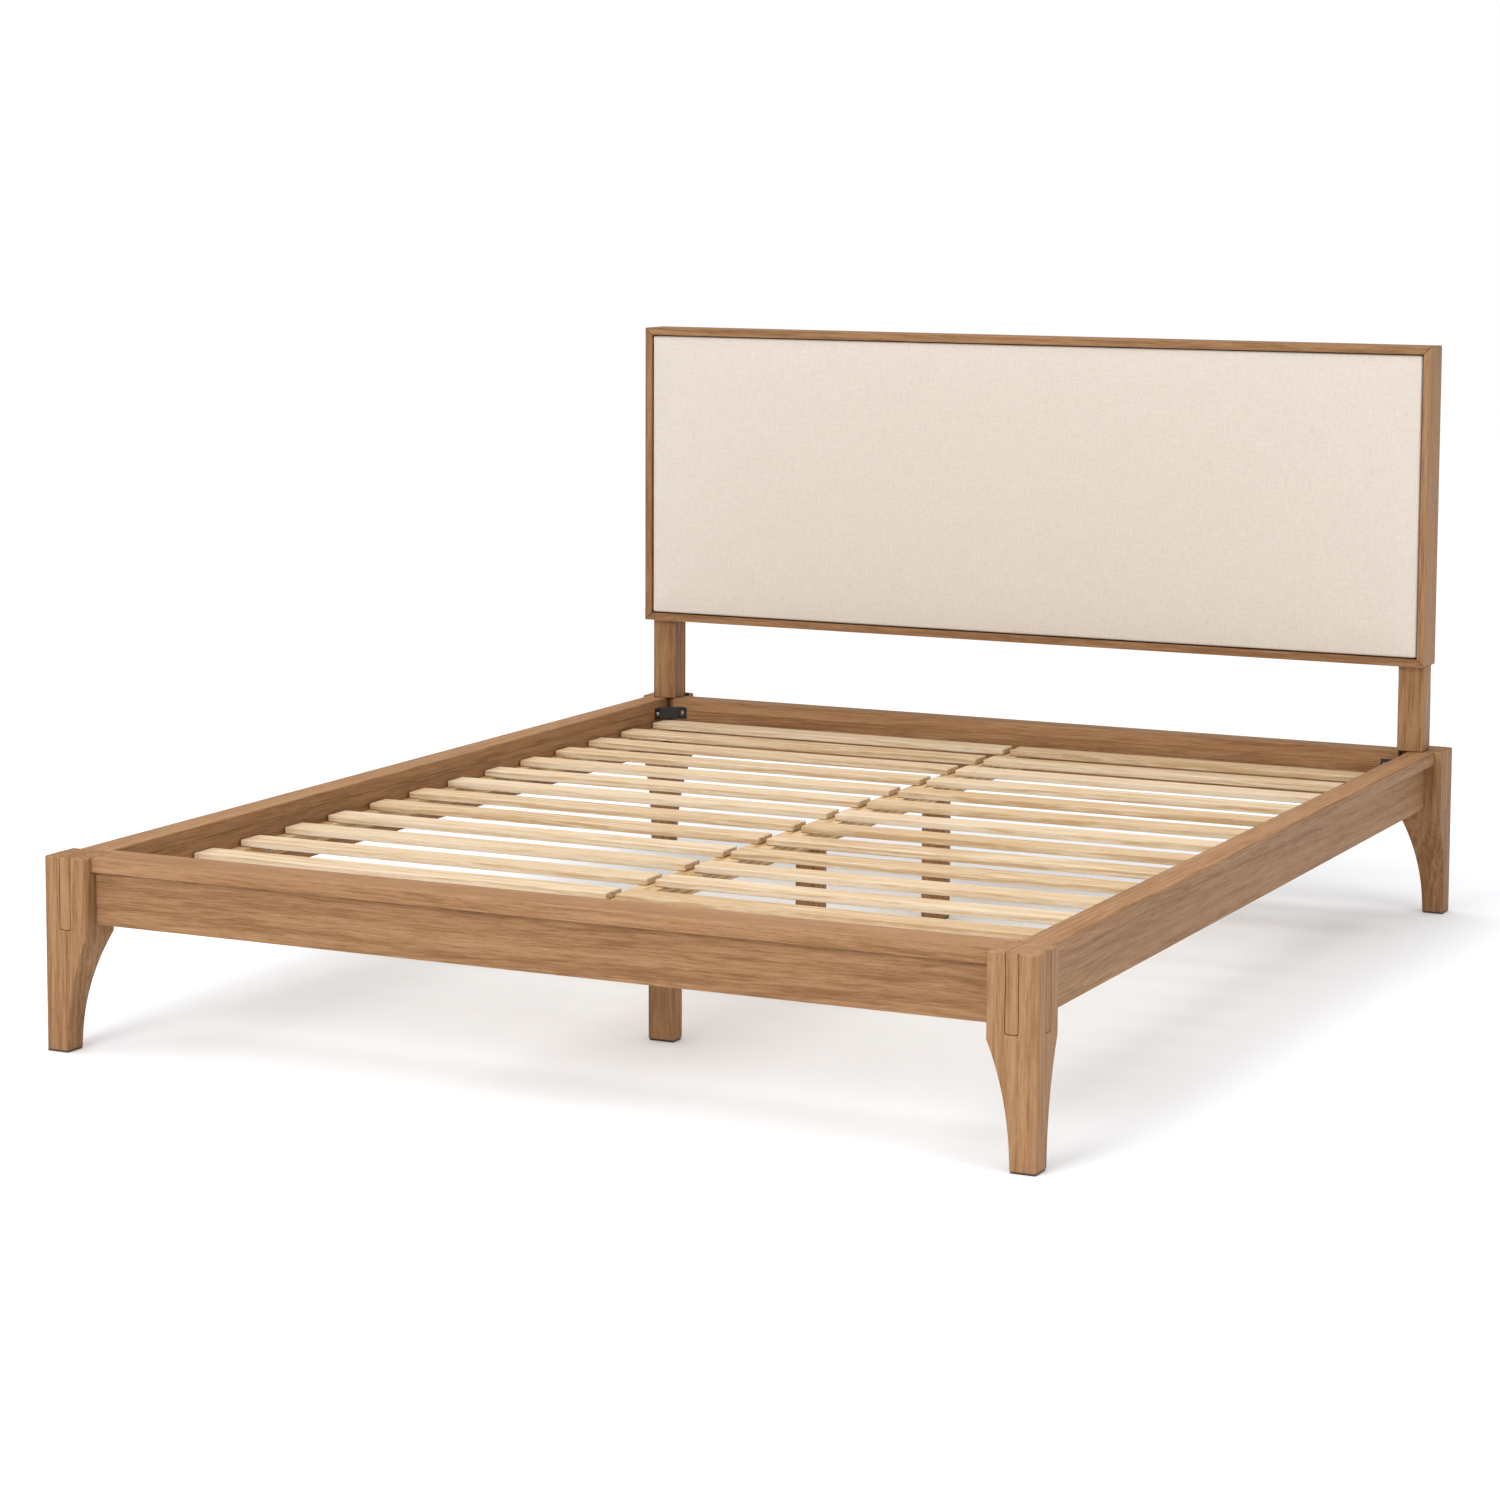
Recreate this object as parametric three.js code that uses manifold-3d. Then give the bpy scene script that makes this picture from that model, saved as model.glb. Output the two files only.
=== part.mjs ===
// Slatted wooden bed frame with an upholstered headboard, for a 1600 x 2000 mattress.
// Millimetres, +Z up. The origin is on the floor at the centre of the footprint,
// -Y is the foot end, +Y is the head end and X runs across the bed.
import * as THREE from 'three';
import { mergeVertices } from 'three/addons/utils/BufferGeometryUtils.js';
import Module from 'manifold-3d';

const wasm = await Module();
wasm.setup();

// ---- driving dimensions ------------------------------------------------------------
const GAP = 0.3;                  // clearance kept between neighbouring pieces

const MATTRESS = { width: 1600, length: 2000 };
const RECESS = { halfWidth: MATTRESS.width / 2 + 8, foot: -1008, head: 1002 };

const FRAME_HALF_WIDTH = 872;     // outer faces of the legs
const FRAME_HALF_LENGTH = 1102.5;
const RAIL_TOP = 325;             // tops of legs and caps
const RAIL_BOTTOM = 212;
const CAP_THICKNESS = 24;

const LEG = { top: 81, foot: 43, taperStart: 194, taperBend: 105, taperSteps: 10 };

const SIDE_CAP_OUTER = 858;
const SIDE_APRON_OUTER = 838;
const FOOT_CAP_FRONT = -1084.5;
const FOOT_APRON = { front: -1072.5, back: -1036.5 };
const HEAD_BACK = 1056;           // back of the head rail, the posts and the headboard

const SLAT = { width: 57, thickness: 12, top: 281, perRow: 14, pitch: 142, lastFront: 933 };
const SLAT_ROW = { inner: 8, outer: 804 };
const LEDGE = { width: 26, height: 26, endInset: 6 };
const BEAM = { width: 48, height: 30, housing: 12 };
const CENTRE_LEG = { width: 48, depth: 31, spacing: 575 };

const HEADBOARD = { halfWidth: 845, bottom: 494, top: 1112, front: 978, member: 15 };
const POST = { inner: 787, outer: 838, depth: 51, tongueDepth: 41 };
const PANEL_THICKNESS = 12;
const PAD = { edgeGap: 1.5 };

const BRACKET = { height: 24, thickness: 3, flange: 18, reach: 32, frontZ: 272, rearZ: 284.5 };
const STRAP = { inner: 780, thickness: 3, bottom: 232, shoulder: 331, tongue: 36, top: 440 };

// ---- finishes ----------------------------------------------------------------------
const finish = (color, roughness, metalness) => ({ color, roughness, metalness });
const FINISHES = {
  frameWood: finish(0xa97c55, 0.45, 0),
  slatWood: finish(0xe2c7a0, 0.6, 0),
  ledgeWood: finish(0xc99a62, 0.6, 0),
  panelBoard: finish(0xb9a07c, 0.8, 0),
  linen: finish(0xe2d7ca, 0.95, 0),
  blackSteel: finish(0x17171a, 0.45, 0.8),
};

// ---- geometry helpers --------------------------------------------------------------
const root = new THREE.Group();

function addPiece(name, geometry, look) {
  const mesh = new THREE.Mesh(geometry, new THREE.MeshStandardMaterial(FINISHES[look]));
  mesh.name = name;
  root.add(mesh);
  return mesh;
}

// A board between two opposite corners, each given as [x, y, z].
function board(low, high) {
  const size = high.map((value, axis) => value - low[axis]);
  const geometry = new THREE.BoxGeometry(...size);
  geometry.translate(...low.map((value, axis) => value + size[axis] / 2));
  return geometry;
}

function shapeFrom(points) {
  return new THREE.Shape(points.map(([x, y]) => new THREE.Vector2(x, y)));
}

// An outline in the XY plane, raised from one height to another.
function raised(points, bottom, top) {
  const geometry = new THREE.ExtrudeGeometry(shapeFrom(points), { depth: top - bottom, bevelEnabled: false });
  geometry.translate(0, 0, bottom);
  return geometry;
}

// An outline in the XZ plane, swept along Y from the front to the back.
function sweptAlongY(shape, front, back) {
  const geometry = new THREE.ExtrudeGeometry(shape, {
    depth: back - front, bevelEnabled: false, curveSegments: LEG.taperSteps,
  });
  geometry.rotateX(Math.PI / 2);
  geometry.translate(0, back, 0);
  return geometry;
}

function toSolid(geometry) {
  const bare = geometry.clone();
  bare.deleteAttribute('normal');
  bare.deleteAttribute('uv');
  const merged = mergeVertices(bare.index ? bare.toNonIndexed() : bare, 1e-4);
  return new wasm.Manifold(new wasm.Mesh({
    numProp: 3,
    vertProperties: new Float32Array(merged.attributes.position.array),
    triVerts: new Uint32Array(merged.index.array),
  }));
}

function toGeometry(solid) {
  const mesh = solid.getMesh();
  const geometry = new THREE.BufferGeometry();
  geometry.setAttribute('position', new THREE.BufferAttribute(new Float32Array(mesh.vertProperties), 3));
  geometry.setIndex(new THREE.BufferAttribute(new Uint32Array(mesh.triVerts), 1));
  geometry.computeVertexNormals();
  return geometry;
}

const cut = (geometry, tool) => toGeometry(toSolid(geometry).subtract(toSolid(tool)));
const common = (a, b) => toGeometry(toSolid(a).intersect(toSolid(b)));

const SIDES = [
  { name: 'left', sign: -1 },
  { name: 'right', sign: 1 },
];
const ENDS = [
  { name: 'front', sign: -1 },
  { name: 'rear', sign: 1 },
];

// A board that spans two distances from the middle, on either side of it.
function sideBoard(sign, inner, outer, front, back, bottom, top) {
  const xs = [inner * sign, outer * sign];
  return board([Math.min(...xs), front, bottom], [Math.max(...xs), back, top]);
}

// ---- legs --------------------------------------------------------------------------
// The outline of a leg seen from the front: the outer edge is upright, and the inner
// edge curves in below the rails to a foot about half as wide.
function legOutline(sign) {
  const outer = FRAME_HALF_WIDTH * sign;
  const across = (width) => outer - width * sign;
  const shape = new THREE.Shape();
  shape.moveTo(outer, 0);
  shape.lineTo(outer, RAIL_TOP);
  shape.lineTo(across(LEG.top), RAIL_TOP);
  shape.lineTo(across(LEG.top), LEG.taperStart);
  shape.quadraticCurveTo(across(LEG.foot), LEG.taperBend, across(LEG.foot), 0);
  shape.closePath();
  return shape;
}

// The same outline seen from the side, turned so that it runs along Y.
function legSideOutline(sign) {
  const outer = FRAME_HALF_LENGTH * sign;
  const across = (width) => outer - width * sign;
  const shape = new THREE.Shape();
  shape.moveTo(outer, 0);
  shape.lineTo(outer, RAIL_TOP);
  shape.lineTo(across(LEG.top), RAIL_TOP);
  shape.lineTo(across(LEG.top), LEG.taperStart);
  shape.quadraticCurveTo(across(LEG.foot), LEG.taperBend, across(LEG.foot), 0);
  shape.closePath();
  return shape;
}

function buildLeg(side, end) {
  const limit = FRAME_HALF_LENGTH + 20;
  const frontView = sweptAlongY(legOutline(side.sign), -limit, limit);
  const sideView = sweptAlongY(legSideOutline(end.sign), -limit, limit);
  sideView.rotateZ(Math.PI / 2);
  addPiece(`leg_${end.name}_${side.name}`, common(frontView, sideView), 'frameWood');
}

// ---- rails -------------------------------------------------------------------------
const capBottom = RAIL_TOP - CAP_THICKNESS;
const apronTop = capBottom - GAP;
const legInnerX = FRAME_HALF_WIDTH - LEG.top;
const legInnerY = FRAME_HALF_LENGTH - LEG.top;
const betweenLegsX = legInnerX - GAP;
const betweenLegsY = legInnerY - GAP;

function buildSideRail(side) {
  const inner = RECESS.halfWidth;
  const cap = sideBoard(side.sign, inner, SIDE_CAP_OUTER, -betweenLegsY, betweenLegsY, capBottom, RAIL_TOP);
  addPiece(`side_cap_${side.name}`, cap, 'frameWood');
  const apron = sideBoard(side.sign, inner, SIDE_APRON_OUTER, -betweenLegsY, betweenLegsY,
    RAIL_BOTTOM, apronTop);
  addPiece(`side_apron_${side.name}`, apron, 'frameWood');
}

// The foot cap is notched round the legs, so that its ears meet the side caps.
function footCapOutline() {
  const ear = RECESS.halfWidth - GAP;
  return [
    [-betweenLegsX, FOOT_CAP_FRONT], [betweenLegsX, FOOT_CAP_FRONT],
    [betweenLegsX, -betweenLegsY], [ear, -betweenLegsY],
    [ear, RECESS.foot], [-ear, RECESS.foot],
    [-ear, -betweenLegsY], [-betweenLegsX, -betweenLegsY],
  ];
}

const slatBottom = SLAT.top - SLAT.thickness;
const beamTop = slatBottom - GAP;
const beamBottom = beamTop - BEAM.height;

// A housing for one end of the centre beam, open at the top of the apron.
function beamHousing(front, back) {
  const half = BEAM.width / 2 + GAP;
  return board([-half, front, beamBottom - GAP], [half, back, apronTop + 5]);
}

function buildFootRail() {
  addPiece('foot_cap', raised(footCapOutline(), capBottom, RAIL_TOP), 'frameWood');
  const plain = board([-betweenLegsX, FOOT_APRON.front, RAIL_BOTTOM],
    [betweenLegsX, FOOT_APRON.back, apronTop]);
  const housing = beamHousing(FOOT_APRON.back - BEAM.housing, FOOT_APRON.back + 5);
  addPiece('foot_apron', cut(plain, housing), 'frameWood');
}

function buildHeadRail() {
  const cap = board([-betweenLegsX, RECESS.head, capBottom], [betweenLegsX, HEAD_BACK, RAIL_TOP]);
  addPiece('head_cap', cap, 'frameWood');
  const plain = board([-betweenLegsX, RECESS.head, RAIL_BOTTOM], [betweenLegsX, HEAD_BACK, apronTop]);
  const housing = beamHousing(RECESS.head - 5, RECESS.head + BEAM.housing);
  addPiece('head_apron', cut(plain, housing), 'frameWood');
}

// ---- mattress support --------------------------------------------------------------
function buildLedge(side) {
  const outer = RECESS.halfWidth - GAP;
  const halfLength = RECESS.head - LEDGE.endInset;
  const ledge = sideBoard(side.sign, outer - LEDGE.width, outer, -halfLength, halfLength,
    beamTop - LEDGE.height, beamTop);
  addPiece(`slat_ledge_${side.name}`, ledge, 'ledgeWood');
}

function buildCentreBeam() {
  const front = FOOT_APRON.back - BEAM.housing + GAP;
  const back = RECESS.head + BEAM.housing - GAP;
  const half = BEAM.width / 2;
  addPiece('centre_beam', board([-half, front, beamBottom], [half, back, beamTop]), 'ledgeWood');
}

function buildCentreLegs() {
  const halfX = CENTRE_LEG.width / 2;
  const halfY = CENTRE_LEG.depth / 2;
  ['foot', 'middle', 'head'].forEach((name, index) => {
    const y = (index - 1) * CENTRE_LEG.spacing;
    const leg = board([-halfX, y - halfY, 0], [halfX, y + halfY, beamBottom - GAP]);
    addPiece(`centre_leg_${name}`, leg, 'frameWood');
  });
}

function buildSlats(side) {
  for (let i = 0; i < SLAT.perRow; i += 1) {
    const front = SLAT.lastFront - (SLAT.perRow - 1 - i) * SLAT.pitch;
    const number = String(i + 1).padStart(2, '0');
    const slat = sideBoard(side.sign, SLAT_ROW.inner, SLAT_ROW.outer, front, front + SLAT.width,
      slatBottom, SLAT.top);
    addPiece(`slat_${side.name}_${number}`, slat, 'slatWood');
  }
}

// ---- headboard ---------------------------------------------------------------------
const stileInner = HEADBOARD.halfWidth - HEADBOARD.member;
const railLow = HEADBOARD.bottom + HEADBOARD.member;
const railHigh = HEADBOARD.top - HEADBOARD.member;
const postFront = HEAD_BACK - POST.depth;
const tongueFront = HEAD_BACK - POST.tongueDepth;

// A post stands on the rails and runs up inside the headboard as a tongue, cut back from
// the panel in front of it and from the stile beside it.
function buildPost(side) {
  const x = (distance) => distance * side.sign;
  const outline = [
    [x(POST.inner), RAIL_TOP + GAP], [x(POST.outer), RAIL_TOP + GAP],
    [x(POST.outer), HEADBOARD.bottom - GAP], [x(stileInner - GAP), HEADBOARD.bottom - GAP],
    [x(stileInner - GAP), railHigh - GAP], [x(POST.inner), railHigh - GAP],
  ];
  const whole = sweptAlongY(shapeFrom(outline), postFront, HEAD_BACK);
  const shoulder = sideBoard(side.sign, POST.inner - 5, POST.outer + 5, postFront - 5, tongueFront,
    HEADBOARD.bottom - GAP, railHigh + 5);
  addPiece(`headboard_post_${side.name}`, cut(whole, shoulder), 'frameWood');
}

// The frame's four members meet in mitres, with half the clearance on each side.
function buildStile(side) {
  const x = (distance) => distance * side.sign;
  const outer = HEADBOARD.halfWidth;
  const outline = [
    [x(outer), HEADBOARD.bottom + GAP], [x(outer), HEADBOARD.top - GAP],
    [x(stileInner), railHigh - GAP], [x(stileInner), railLow + GAP],
  ];
  const geometry = sweptAlongY(shapeFrom(outline), HEADBOARD.front, HEAD_BACK);
  addPiece(`headboard_stile_${side.name}`, geometry, 'frameWood');
}

function railOutline(outerZ, innerZ) {
  const outer = HEADBOARD.halfWidth - GAP;
  const inner = stileInner - GAP;
  return shapeFrom([[-outer, outerZ], [outer, outerZ], [inner, innerZ], [-inner, innerZ]]);
}

function buildHeadboardRails() {
  const top = sweptAlongY(railOutline(HEADBOARD.top, railHigh), HEADBOARD.front, HEAD_BACK);
  addPiece('headboard_rail_top', top, 'frameWood');
  let bottom = sweptAlongY(railOutline(HEADBOARD.bottom, railLow), HEADBOARD.front, HEAD_BACK);
  SIDES.forEach((side) => {
    const notch = sideBoard(side.sign, POST.inner - GAP, stileInner, tongueFront - GAP,
      HEAD_BACK + 5, HEADBOARD.bottom - 5, railLow + 5);
    bottom = cut(bottom, notch);
  });
  addPiece('headboard_rail_bottom', bottom, 'frameWood');
}

function buildHeadboardFill() {
  const panelBack = tongueFront - GAP;
  const panelFront = panelBack - PANEL_THICKNESS;
  const panelX = stileInner - GAP;
  addPiece('headboard_panel', board([-panelX, panelFront, railLow + GAP],
    [panelX, panelBack, railHigh - GAP]), 'panelBoard');
  const padX = stileInner - PAD.edgeGap;
  addPiece('headboard_pad', board([-padX, HEADBOARD.front, railLow + PAD.edgeGap],
    [padX, panelFront - GAP, railHigh - PAD.edgeGap]), 'linen');
}

// ---- steelwork ---------------------------------------------------------------------
// A corner bracket in plan: a flange on the side rail, a diagonal web and a flange on
// the end rail. "into" points from the end rail towards the middle of the bed.
function bracketOutline(side, railY, into) {
  const wall = RECESS.halfWidth - GAP;
  const t = BRACKET.thickness;
  const point = (fromWall, fromRail) => [(wall - fromWall) * side.sign, railY + (GAP + fromRail) * into];
  const { reach, flange } = BRACKET;
  return [
    point(0, reach), point(0, reach + flange), point(t, reach + flange), point(t, reach + t / 2),
    point(reach + t / 2, t), point(reach + flange, t), point(reach + flange, 0), point(reach, 0),
  ];
}

function buildCornerBracket(side, end) {
  const isFront = end.name === 'front';
  const railY = isFront ? FOOT_APRON.back : RECESS.head;
  const bottom = isFront ? BRACKET.frontZ : BRACKET.rearZ;
  const outline = bracketOutline(side, railY, isFront ? 1 : -1);
  addPiece(`corner_bracket_${end.name}_${side.name}`, raised(outline, bottom, bottom + BRACKET.height),
    'blackSteel');
}

// A flat strap behind the head rail and the post, with a narrower tongue up the post.
function buildStrap(side) {
  const x = (distance) => distance * side.sign;
  const outline = [
    [x(STRAP.inner), STRAP.bottom], [x(betweenLegsX), STRAP.bottom],
    [x(betweenLegsX), RAIL_TOP + 2], [x(POST.inner + 14 + STRAP.tongue), RAIL_TOP + 2],
    [x(POST.inner + 14 + STRAP.tongue), STRAP.top], [x(POST.inner + 14), STRAP.top],
    [x(POST.inner + 14), STRAP.shoulder], [x(STRAP.inner), STRAP.shoulder],
  ];
  const front = HEAD_BACK + GAP;
  addPiece(`headboard_strap_${side.name}`, sweptAlongY(shapeFrom(outline), front, front + STRAP.thickness),
    'blackSteel');
}

// ---- assembly ----------------------------------------------------------------------
ENDS.forEach((end) => SIDES.forEach((side) => buildLeg(side, end)));
SIDES.forEach(buildSideRail);
buildFootRail();
buildHeadRail();
SIDES.forEach(buildLedge);
buildCentreBeam();
buildCentreLegs();
SIDES.forEach(buildSlats);
SIDES.forEach(buildPost);
SIDES.forEach(buildStile);
buildHeadboardRails();
buildHeadboardFill();
ENDS.forEach((end) => SIDES.forEach((side) => buildCornerBracket(side, end)));
SIDES.forEach(buildStrap);

export default root;
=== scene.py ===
"""A slatted oak bed frame with a linen headboard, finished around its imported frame.

Lengths are in metres on the frame's own axes: X runs across the bed, Y towards the head and Z up.
"""

import logging
import math
import random
from dataclasses import dataclass, field
from enum import Enum

import bmesh
import bpy
from mathutils import Matrix, Vector


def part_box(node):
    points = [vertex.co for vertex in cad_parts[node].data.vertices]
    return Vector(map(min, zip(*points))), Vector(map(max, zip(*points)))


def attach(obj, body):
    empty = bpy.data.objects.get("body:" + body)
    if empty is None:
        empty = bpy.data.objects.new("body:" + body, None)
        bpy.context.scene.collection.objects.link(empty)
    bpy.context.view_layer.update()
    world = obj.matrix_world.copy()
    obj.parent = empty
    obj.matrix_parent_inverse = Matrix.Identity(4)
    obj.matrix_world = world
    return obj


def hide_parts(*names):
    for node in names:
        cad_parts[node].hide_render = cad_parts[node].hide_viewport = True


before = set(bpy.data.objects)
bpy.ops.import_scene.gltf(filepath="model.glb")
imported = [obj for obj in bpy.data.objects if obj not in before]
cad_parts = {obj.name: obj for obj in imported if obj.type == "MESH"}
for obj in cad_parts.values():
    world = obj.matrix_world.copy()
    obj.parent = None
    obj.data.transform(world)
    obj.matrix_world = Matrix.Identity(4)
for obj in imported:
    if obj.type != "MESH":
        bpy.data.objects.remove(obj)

LOG = logging.getLogger("bed_frame")
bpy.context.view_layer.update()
BODY = "root"
WAVE_PERIOD = 0.314         # metres between two bands of a wave texture at scale 1
CLEARANCE = 0.0003          # metres between neighbouring pieces
OVERCUT = 0.01              # metres that a cutter stands proud of what it cuts
LOG_LENGTH = 40.0           # metres of log that pieces are cut from
PITH_DISTANCE = (0.05, 0.16)
LEAN = 0.02                 # slope of the fibres against a piece's length
COPY_SPREAD = 0.12          # metres that a copy's place in the log varies across it

Colour = Triple = tuple[float, float, float]
Outline = list[tuple[float, float]]
Seat = tuple[Vector, Triple]
Socket = bpy.types.NodeSocket
Solid = bmesh.types.BMesh
Object = bpy.types.Object


class Grain(Enum):
    """The axis that the fibres of a piece of wood run along."""

    X = 0
    Y = 1
    Z = 2


class Mirrored(Enum):
    """One of two opposite parts of the bed, with its sign along the axis between them."""

    @property
    def label(self) -> str:
        """The part's word in the names of pieces."""
        return self.name.lower()


class Side(Mirrored):
    """The two sides of the bed, seen from its foot."""

    LEFT = -1
    RIGHT = 1


class End(Mirrored):
    """The two ends of the bed."""

    FRONT = -1
    REAR = 1


class Layout(Enum):
    """Where a repeater puts its copies."""

    LINE = "along a line"
    POINTS = "on the points of a mesh"


CORNERS = [(end, side) for end in End for side in Side]
CENTRE_LEGS = [f"centre_leg_{place}" for place in ("foot", "middle", "head")]


# ---- finishes ----------------------------------------------------------------------


class NodeGraph:
    """A node tree, with short calls that add and join its nodes."""

    tree: bpy.types.NodeTree

    def node(self, kind: str, settings: dict | None = None, inputs: dict | None = None) -> bpy.types.Node:
        """Adds a node.

        Args:
            kind: The node's Blender type.
            settings: The node's own properties, by name.
            inputs: Values or sockets for its inputs, by socket name or number.

        Returns:
            The new node.
        """
        made = self.tree.nodes.new(kind)
        for name, value in (settings or {}).items():
            setattr(made, name, value)
        self.fill(made, inputs or {})
        return made

    def fill(self, node: bpy.types.Node, inputs: dict) -> None:
        """Sets the inputs of a node to values, or joins them to sockets."""
        for name, value in inputs.items():
            if isinstance(value, Socket):
                self.tree.links.new(value, node.inputs[name])
            else:
                node.inputs[name].default_value = value


class Shading(NodeGraph):
    """The node tree of one material."""

    def __init__(self, name: str) -> None:
        """Starts a material that has only a surface shader and its output."""
        self.material = bpy.data.materials.new(name)
        self.material.use_nodes = True
        self.tree = self.material.node_tree
        self.tree.nodes.clear()
        self.surface = self.node("ShaderNodeBsdfPrincipled")
        self.node("ShaderNodeOutputMaterial", None, {"Surface": self.surface.outputs["BSDF"]})

    def attribute(self, name: str, output: str = "Vector") -> Socket:
        """Reads one of the mesh's own attributes."""
        return self.node("ShaderNodeAttribute", {"attribute_name": name}).outputs[output]

    def place(self) -> Socket:
        """The place on the object, in metres."""
        return self.node("ShaderNodeTexCoord").outputs["Object"]

    def maths(self, operation: str, first: object, second: object = 0.0, third: object = 0.0) -> Socket:
        """Adds a sum of up to three values and returns its result."""
        return self.node("ShaderNodeMath", {"operation": operation}, {0: first, 1: second, 2: third}).outputs[0]

    def vector(self, operation: str, first: Socket, second: object) -> Socket:
        """Adds a sum of two vectors and returns its result."""
        return self.node("ShaderNodeVectorMath", {"operation": operation}, {0: first, 1: second}).outputs[0]

    def weighed(self, *layers: tuple[Socket, float]) -> Socket:
        """Adds up layers, each multiplied by its share."""
        parts = [self.maths("MULTIPLY", layer, share) for layer, share in layers]
        total = parts[0]
        for part in parts[1:]:
            total = self.maths("ADD", total, part)
        return total

    def noise(self, vector: Socket, scale: Triple, detail: float, roughness: float = 0.5,
              output: str = "Fac") -> Socket:
        """Adds a noise that has its own scale along each axis.

        Args:
            vector: The coordinates it reads.
            scale: Features a metre along each axis.
            detail: Octaves of finer noise.
            roughness: How strong the finer octaves are.
            output: Fac or Color.

        Returns:
            The socket of the chosen output.
        """
        inputs = {"Vector": self.vector("MULTIPLY", vector, scale), "Scale": 1.0, "Detail": detail,
                  "Roughness": roughness}
        return self.node("ShaderNodeTexNoise", None, inputs).outputs[output]

    def waves(self, vector: Socket, spacing: float, settings: dict, inputs: dict) -> Socket:
        """Adds bands or rings at a spacing in metres."""
        inputs = {"Vector": vector, "Scale": WAVE_PERIOD / spacing} | inputs
        return self.node("ShaderNodeTexWave", settings, inputs).outputs["Fac"]

    def ramp(self, value: Socket, *stops: tuple[float, Colour]) -> Socket:
        """Turns a value from 0 to 1 into a colour, from places on a ramp and their colours."""
        made = self.node("ShaderNodeValToRGB", None, {"Fac": value})
        elements = made.color_ramp.elements
        while len(elements) < len(stops):
            elements.new(0.5)
        for element, (place, colour) in zip(elements, stops):
            element.position = place
            element.color = (*colour, 1.0)
        return made.outputs["Color"]

    def stained(self, colour: Socket, stain: Colour, share: Socket) -> Socket:
        """Mixes a share of a stain into a colour."""
        made = self.node("ShaderNodeMix", {"data_type": "RGBA"}, {0: share, 6: colour, 7: (*stain, 1.0)})
        return made.outputs[2]

    def bump(self, height: Socket, distance: float, strength: float) -> None:
        """Roughens the surface by a height, given in units of a distance in metres."""
        inputs = {"Height": height, "Distance": distance, "Strength": strength}
        self.fill(self.surface, {"Normal": self.node("ShaderNodeBump", None, inputs).outputs["Normal"]})


@dataclass(frozen=True)
class WoodFinish:
    """Planed wood with growth rings, fibres and pores that follow each piece's own grain."""

    name: str
    slot: str
    dark: Colour
    middle: Colour
    light: Colour
    ring_spacing: float = 0.011
    ring_share: float = 0.12
    broad_share: float = 0.5
    streak_share: float = 0.82
    fibre_share: float = 0.6
    tone_range: float = 0.12
    pore_depth: float = 0.3
    pore_shade: float = 0.45
    roughness: float = 0.5
    gloss_range: float = 0.14
    specular: float = 0.12
    waver: float = 0.03
    waver_scale: Triple = (1.6, 7.0, 7.0)
    broad_scale: Triple = (1.6, 42.0, 42.0)
    streak_scale: Triple = (9.0, 240.0, 240.0)
    fibre_scale: Triple = (26.0, 700.0, 700.0)
    pore_scale: Triple = (70.0, 1700.0, 1700.0)

    def make(self) -> bpy.types.Material:
        """Builds the material."""
        shading = Shading(self.name)
        grain = shading.attribute("grain")
        tone = shading.attribute("tone", "Fac")
        waver = shading.vector("SUBTRACT", shading.noise(grain, self.waver_scale, 3.0, output="Color"),
                               (0.5, 0.5, 0.5))
        bent = shading.vector("ADD", grain, shading.vector("MULTIPLY", waver, (0.0, self.waver, self.waver)))
        rings = shading.waves(shading.vector("MULTIPLY", bent, (0.2, 1.0, 1.0)), self.ring_spacing,
                              {"wave_type": "RINGS", "rings_direction": "X", "wave_profile": "SIN"},
                              {"Distortion": 3.0, "Detail": 3.0, "Detail Scale": 1.4})
        broad = shading.noise(bent, self.broad_scale, 4.0, 0.55)
        streaks = shading.noise(bent, self.streak_scale, 4.0, 0.6)
        fibres = shading.noise(grain, self.fibre_scale, 3.0, 0.55)
        pores = shading.ramp(shading.noise(grain, self.pore_scale, 1.0), (0.60, (0.0,) * 3), (0.70, (1.0,) * 3))
        layers = ((rings, self.ring_share), (broad, self.broad_share), (streaks, self.streak_share),
                  (fibres, self.fibre_share), (tone, self.tone_range))
        centred = [(shading.maths("SUBTRACT", layer, 0.5), share) for layer, share in layers]
        value = shading.maths("ADD", shading.weighed(*centred), 0.5)
        colour = shading.ramp(value, (0.28, self.dark), (0.5, self.middle), (0.72, self.light))
        deep = tuple(channel * self.pore_shade for channel in self.dark)
        colour = shading.stained(colour, deep, shading.maths("MULTIPLY", pores, self.pore_depth))
        gloss = shading.maths("MULTIPLY_ADD", fibres, self.gloss_range, self.roughness - self.gloss_range / 2)
        shading.fill(shading.surface, {"Base Color": colour, "Roughness": gloss,
                                       "Specular IOR Level": self.specular})
        height = shading.maths("SUBTRACT", fibres, shading.maths("MULTIPLY", pores, 1.4))
        shading.bump(height, 0.00022, 0.55)
        return shading.material


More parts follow.
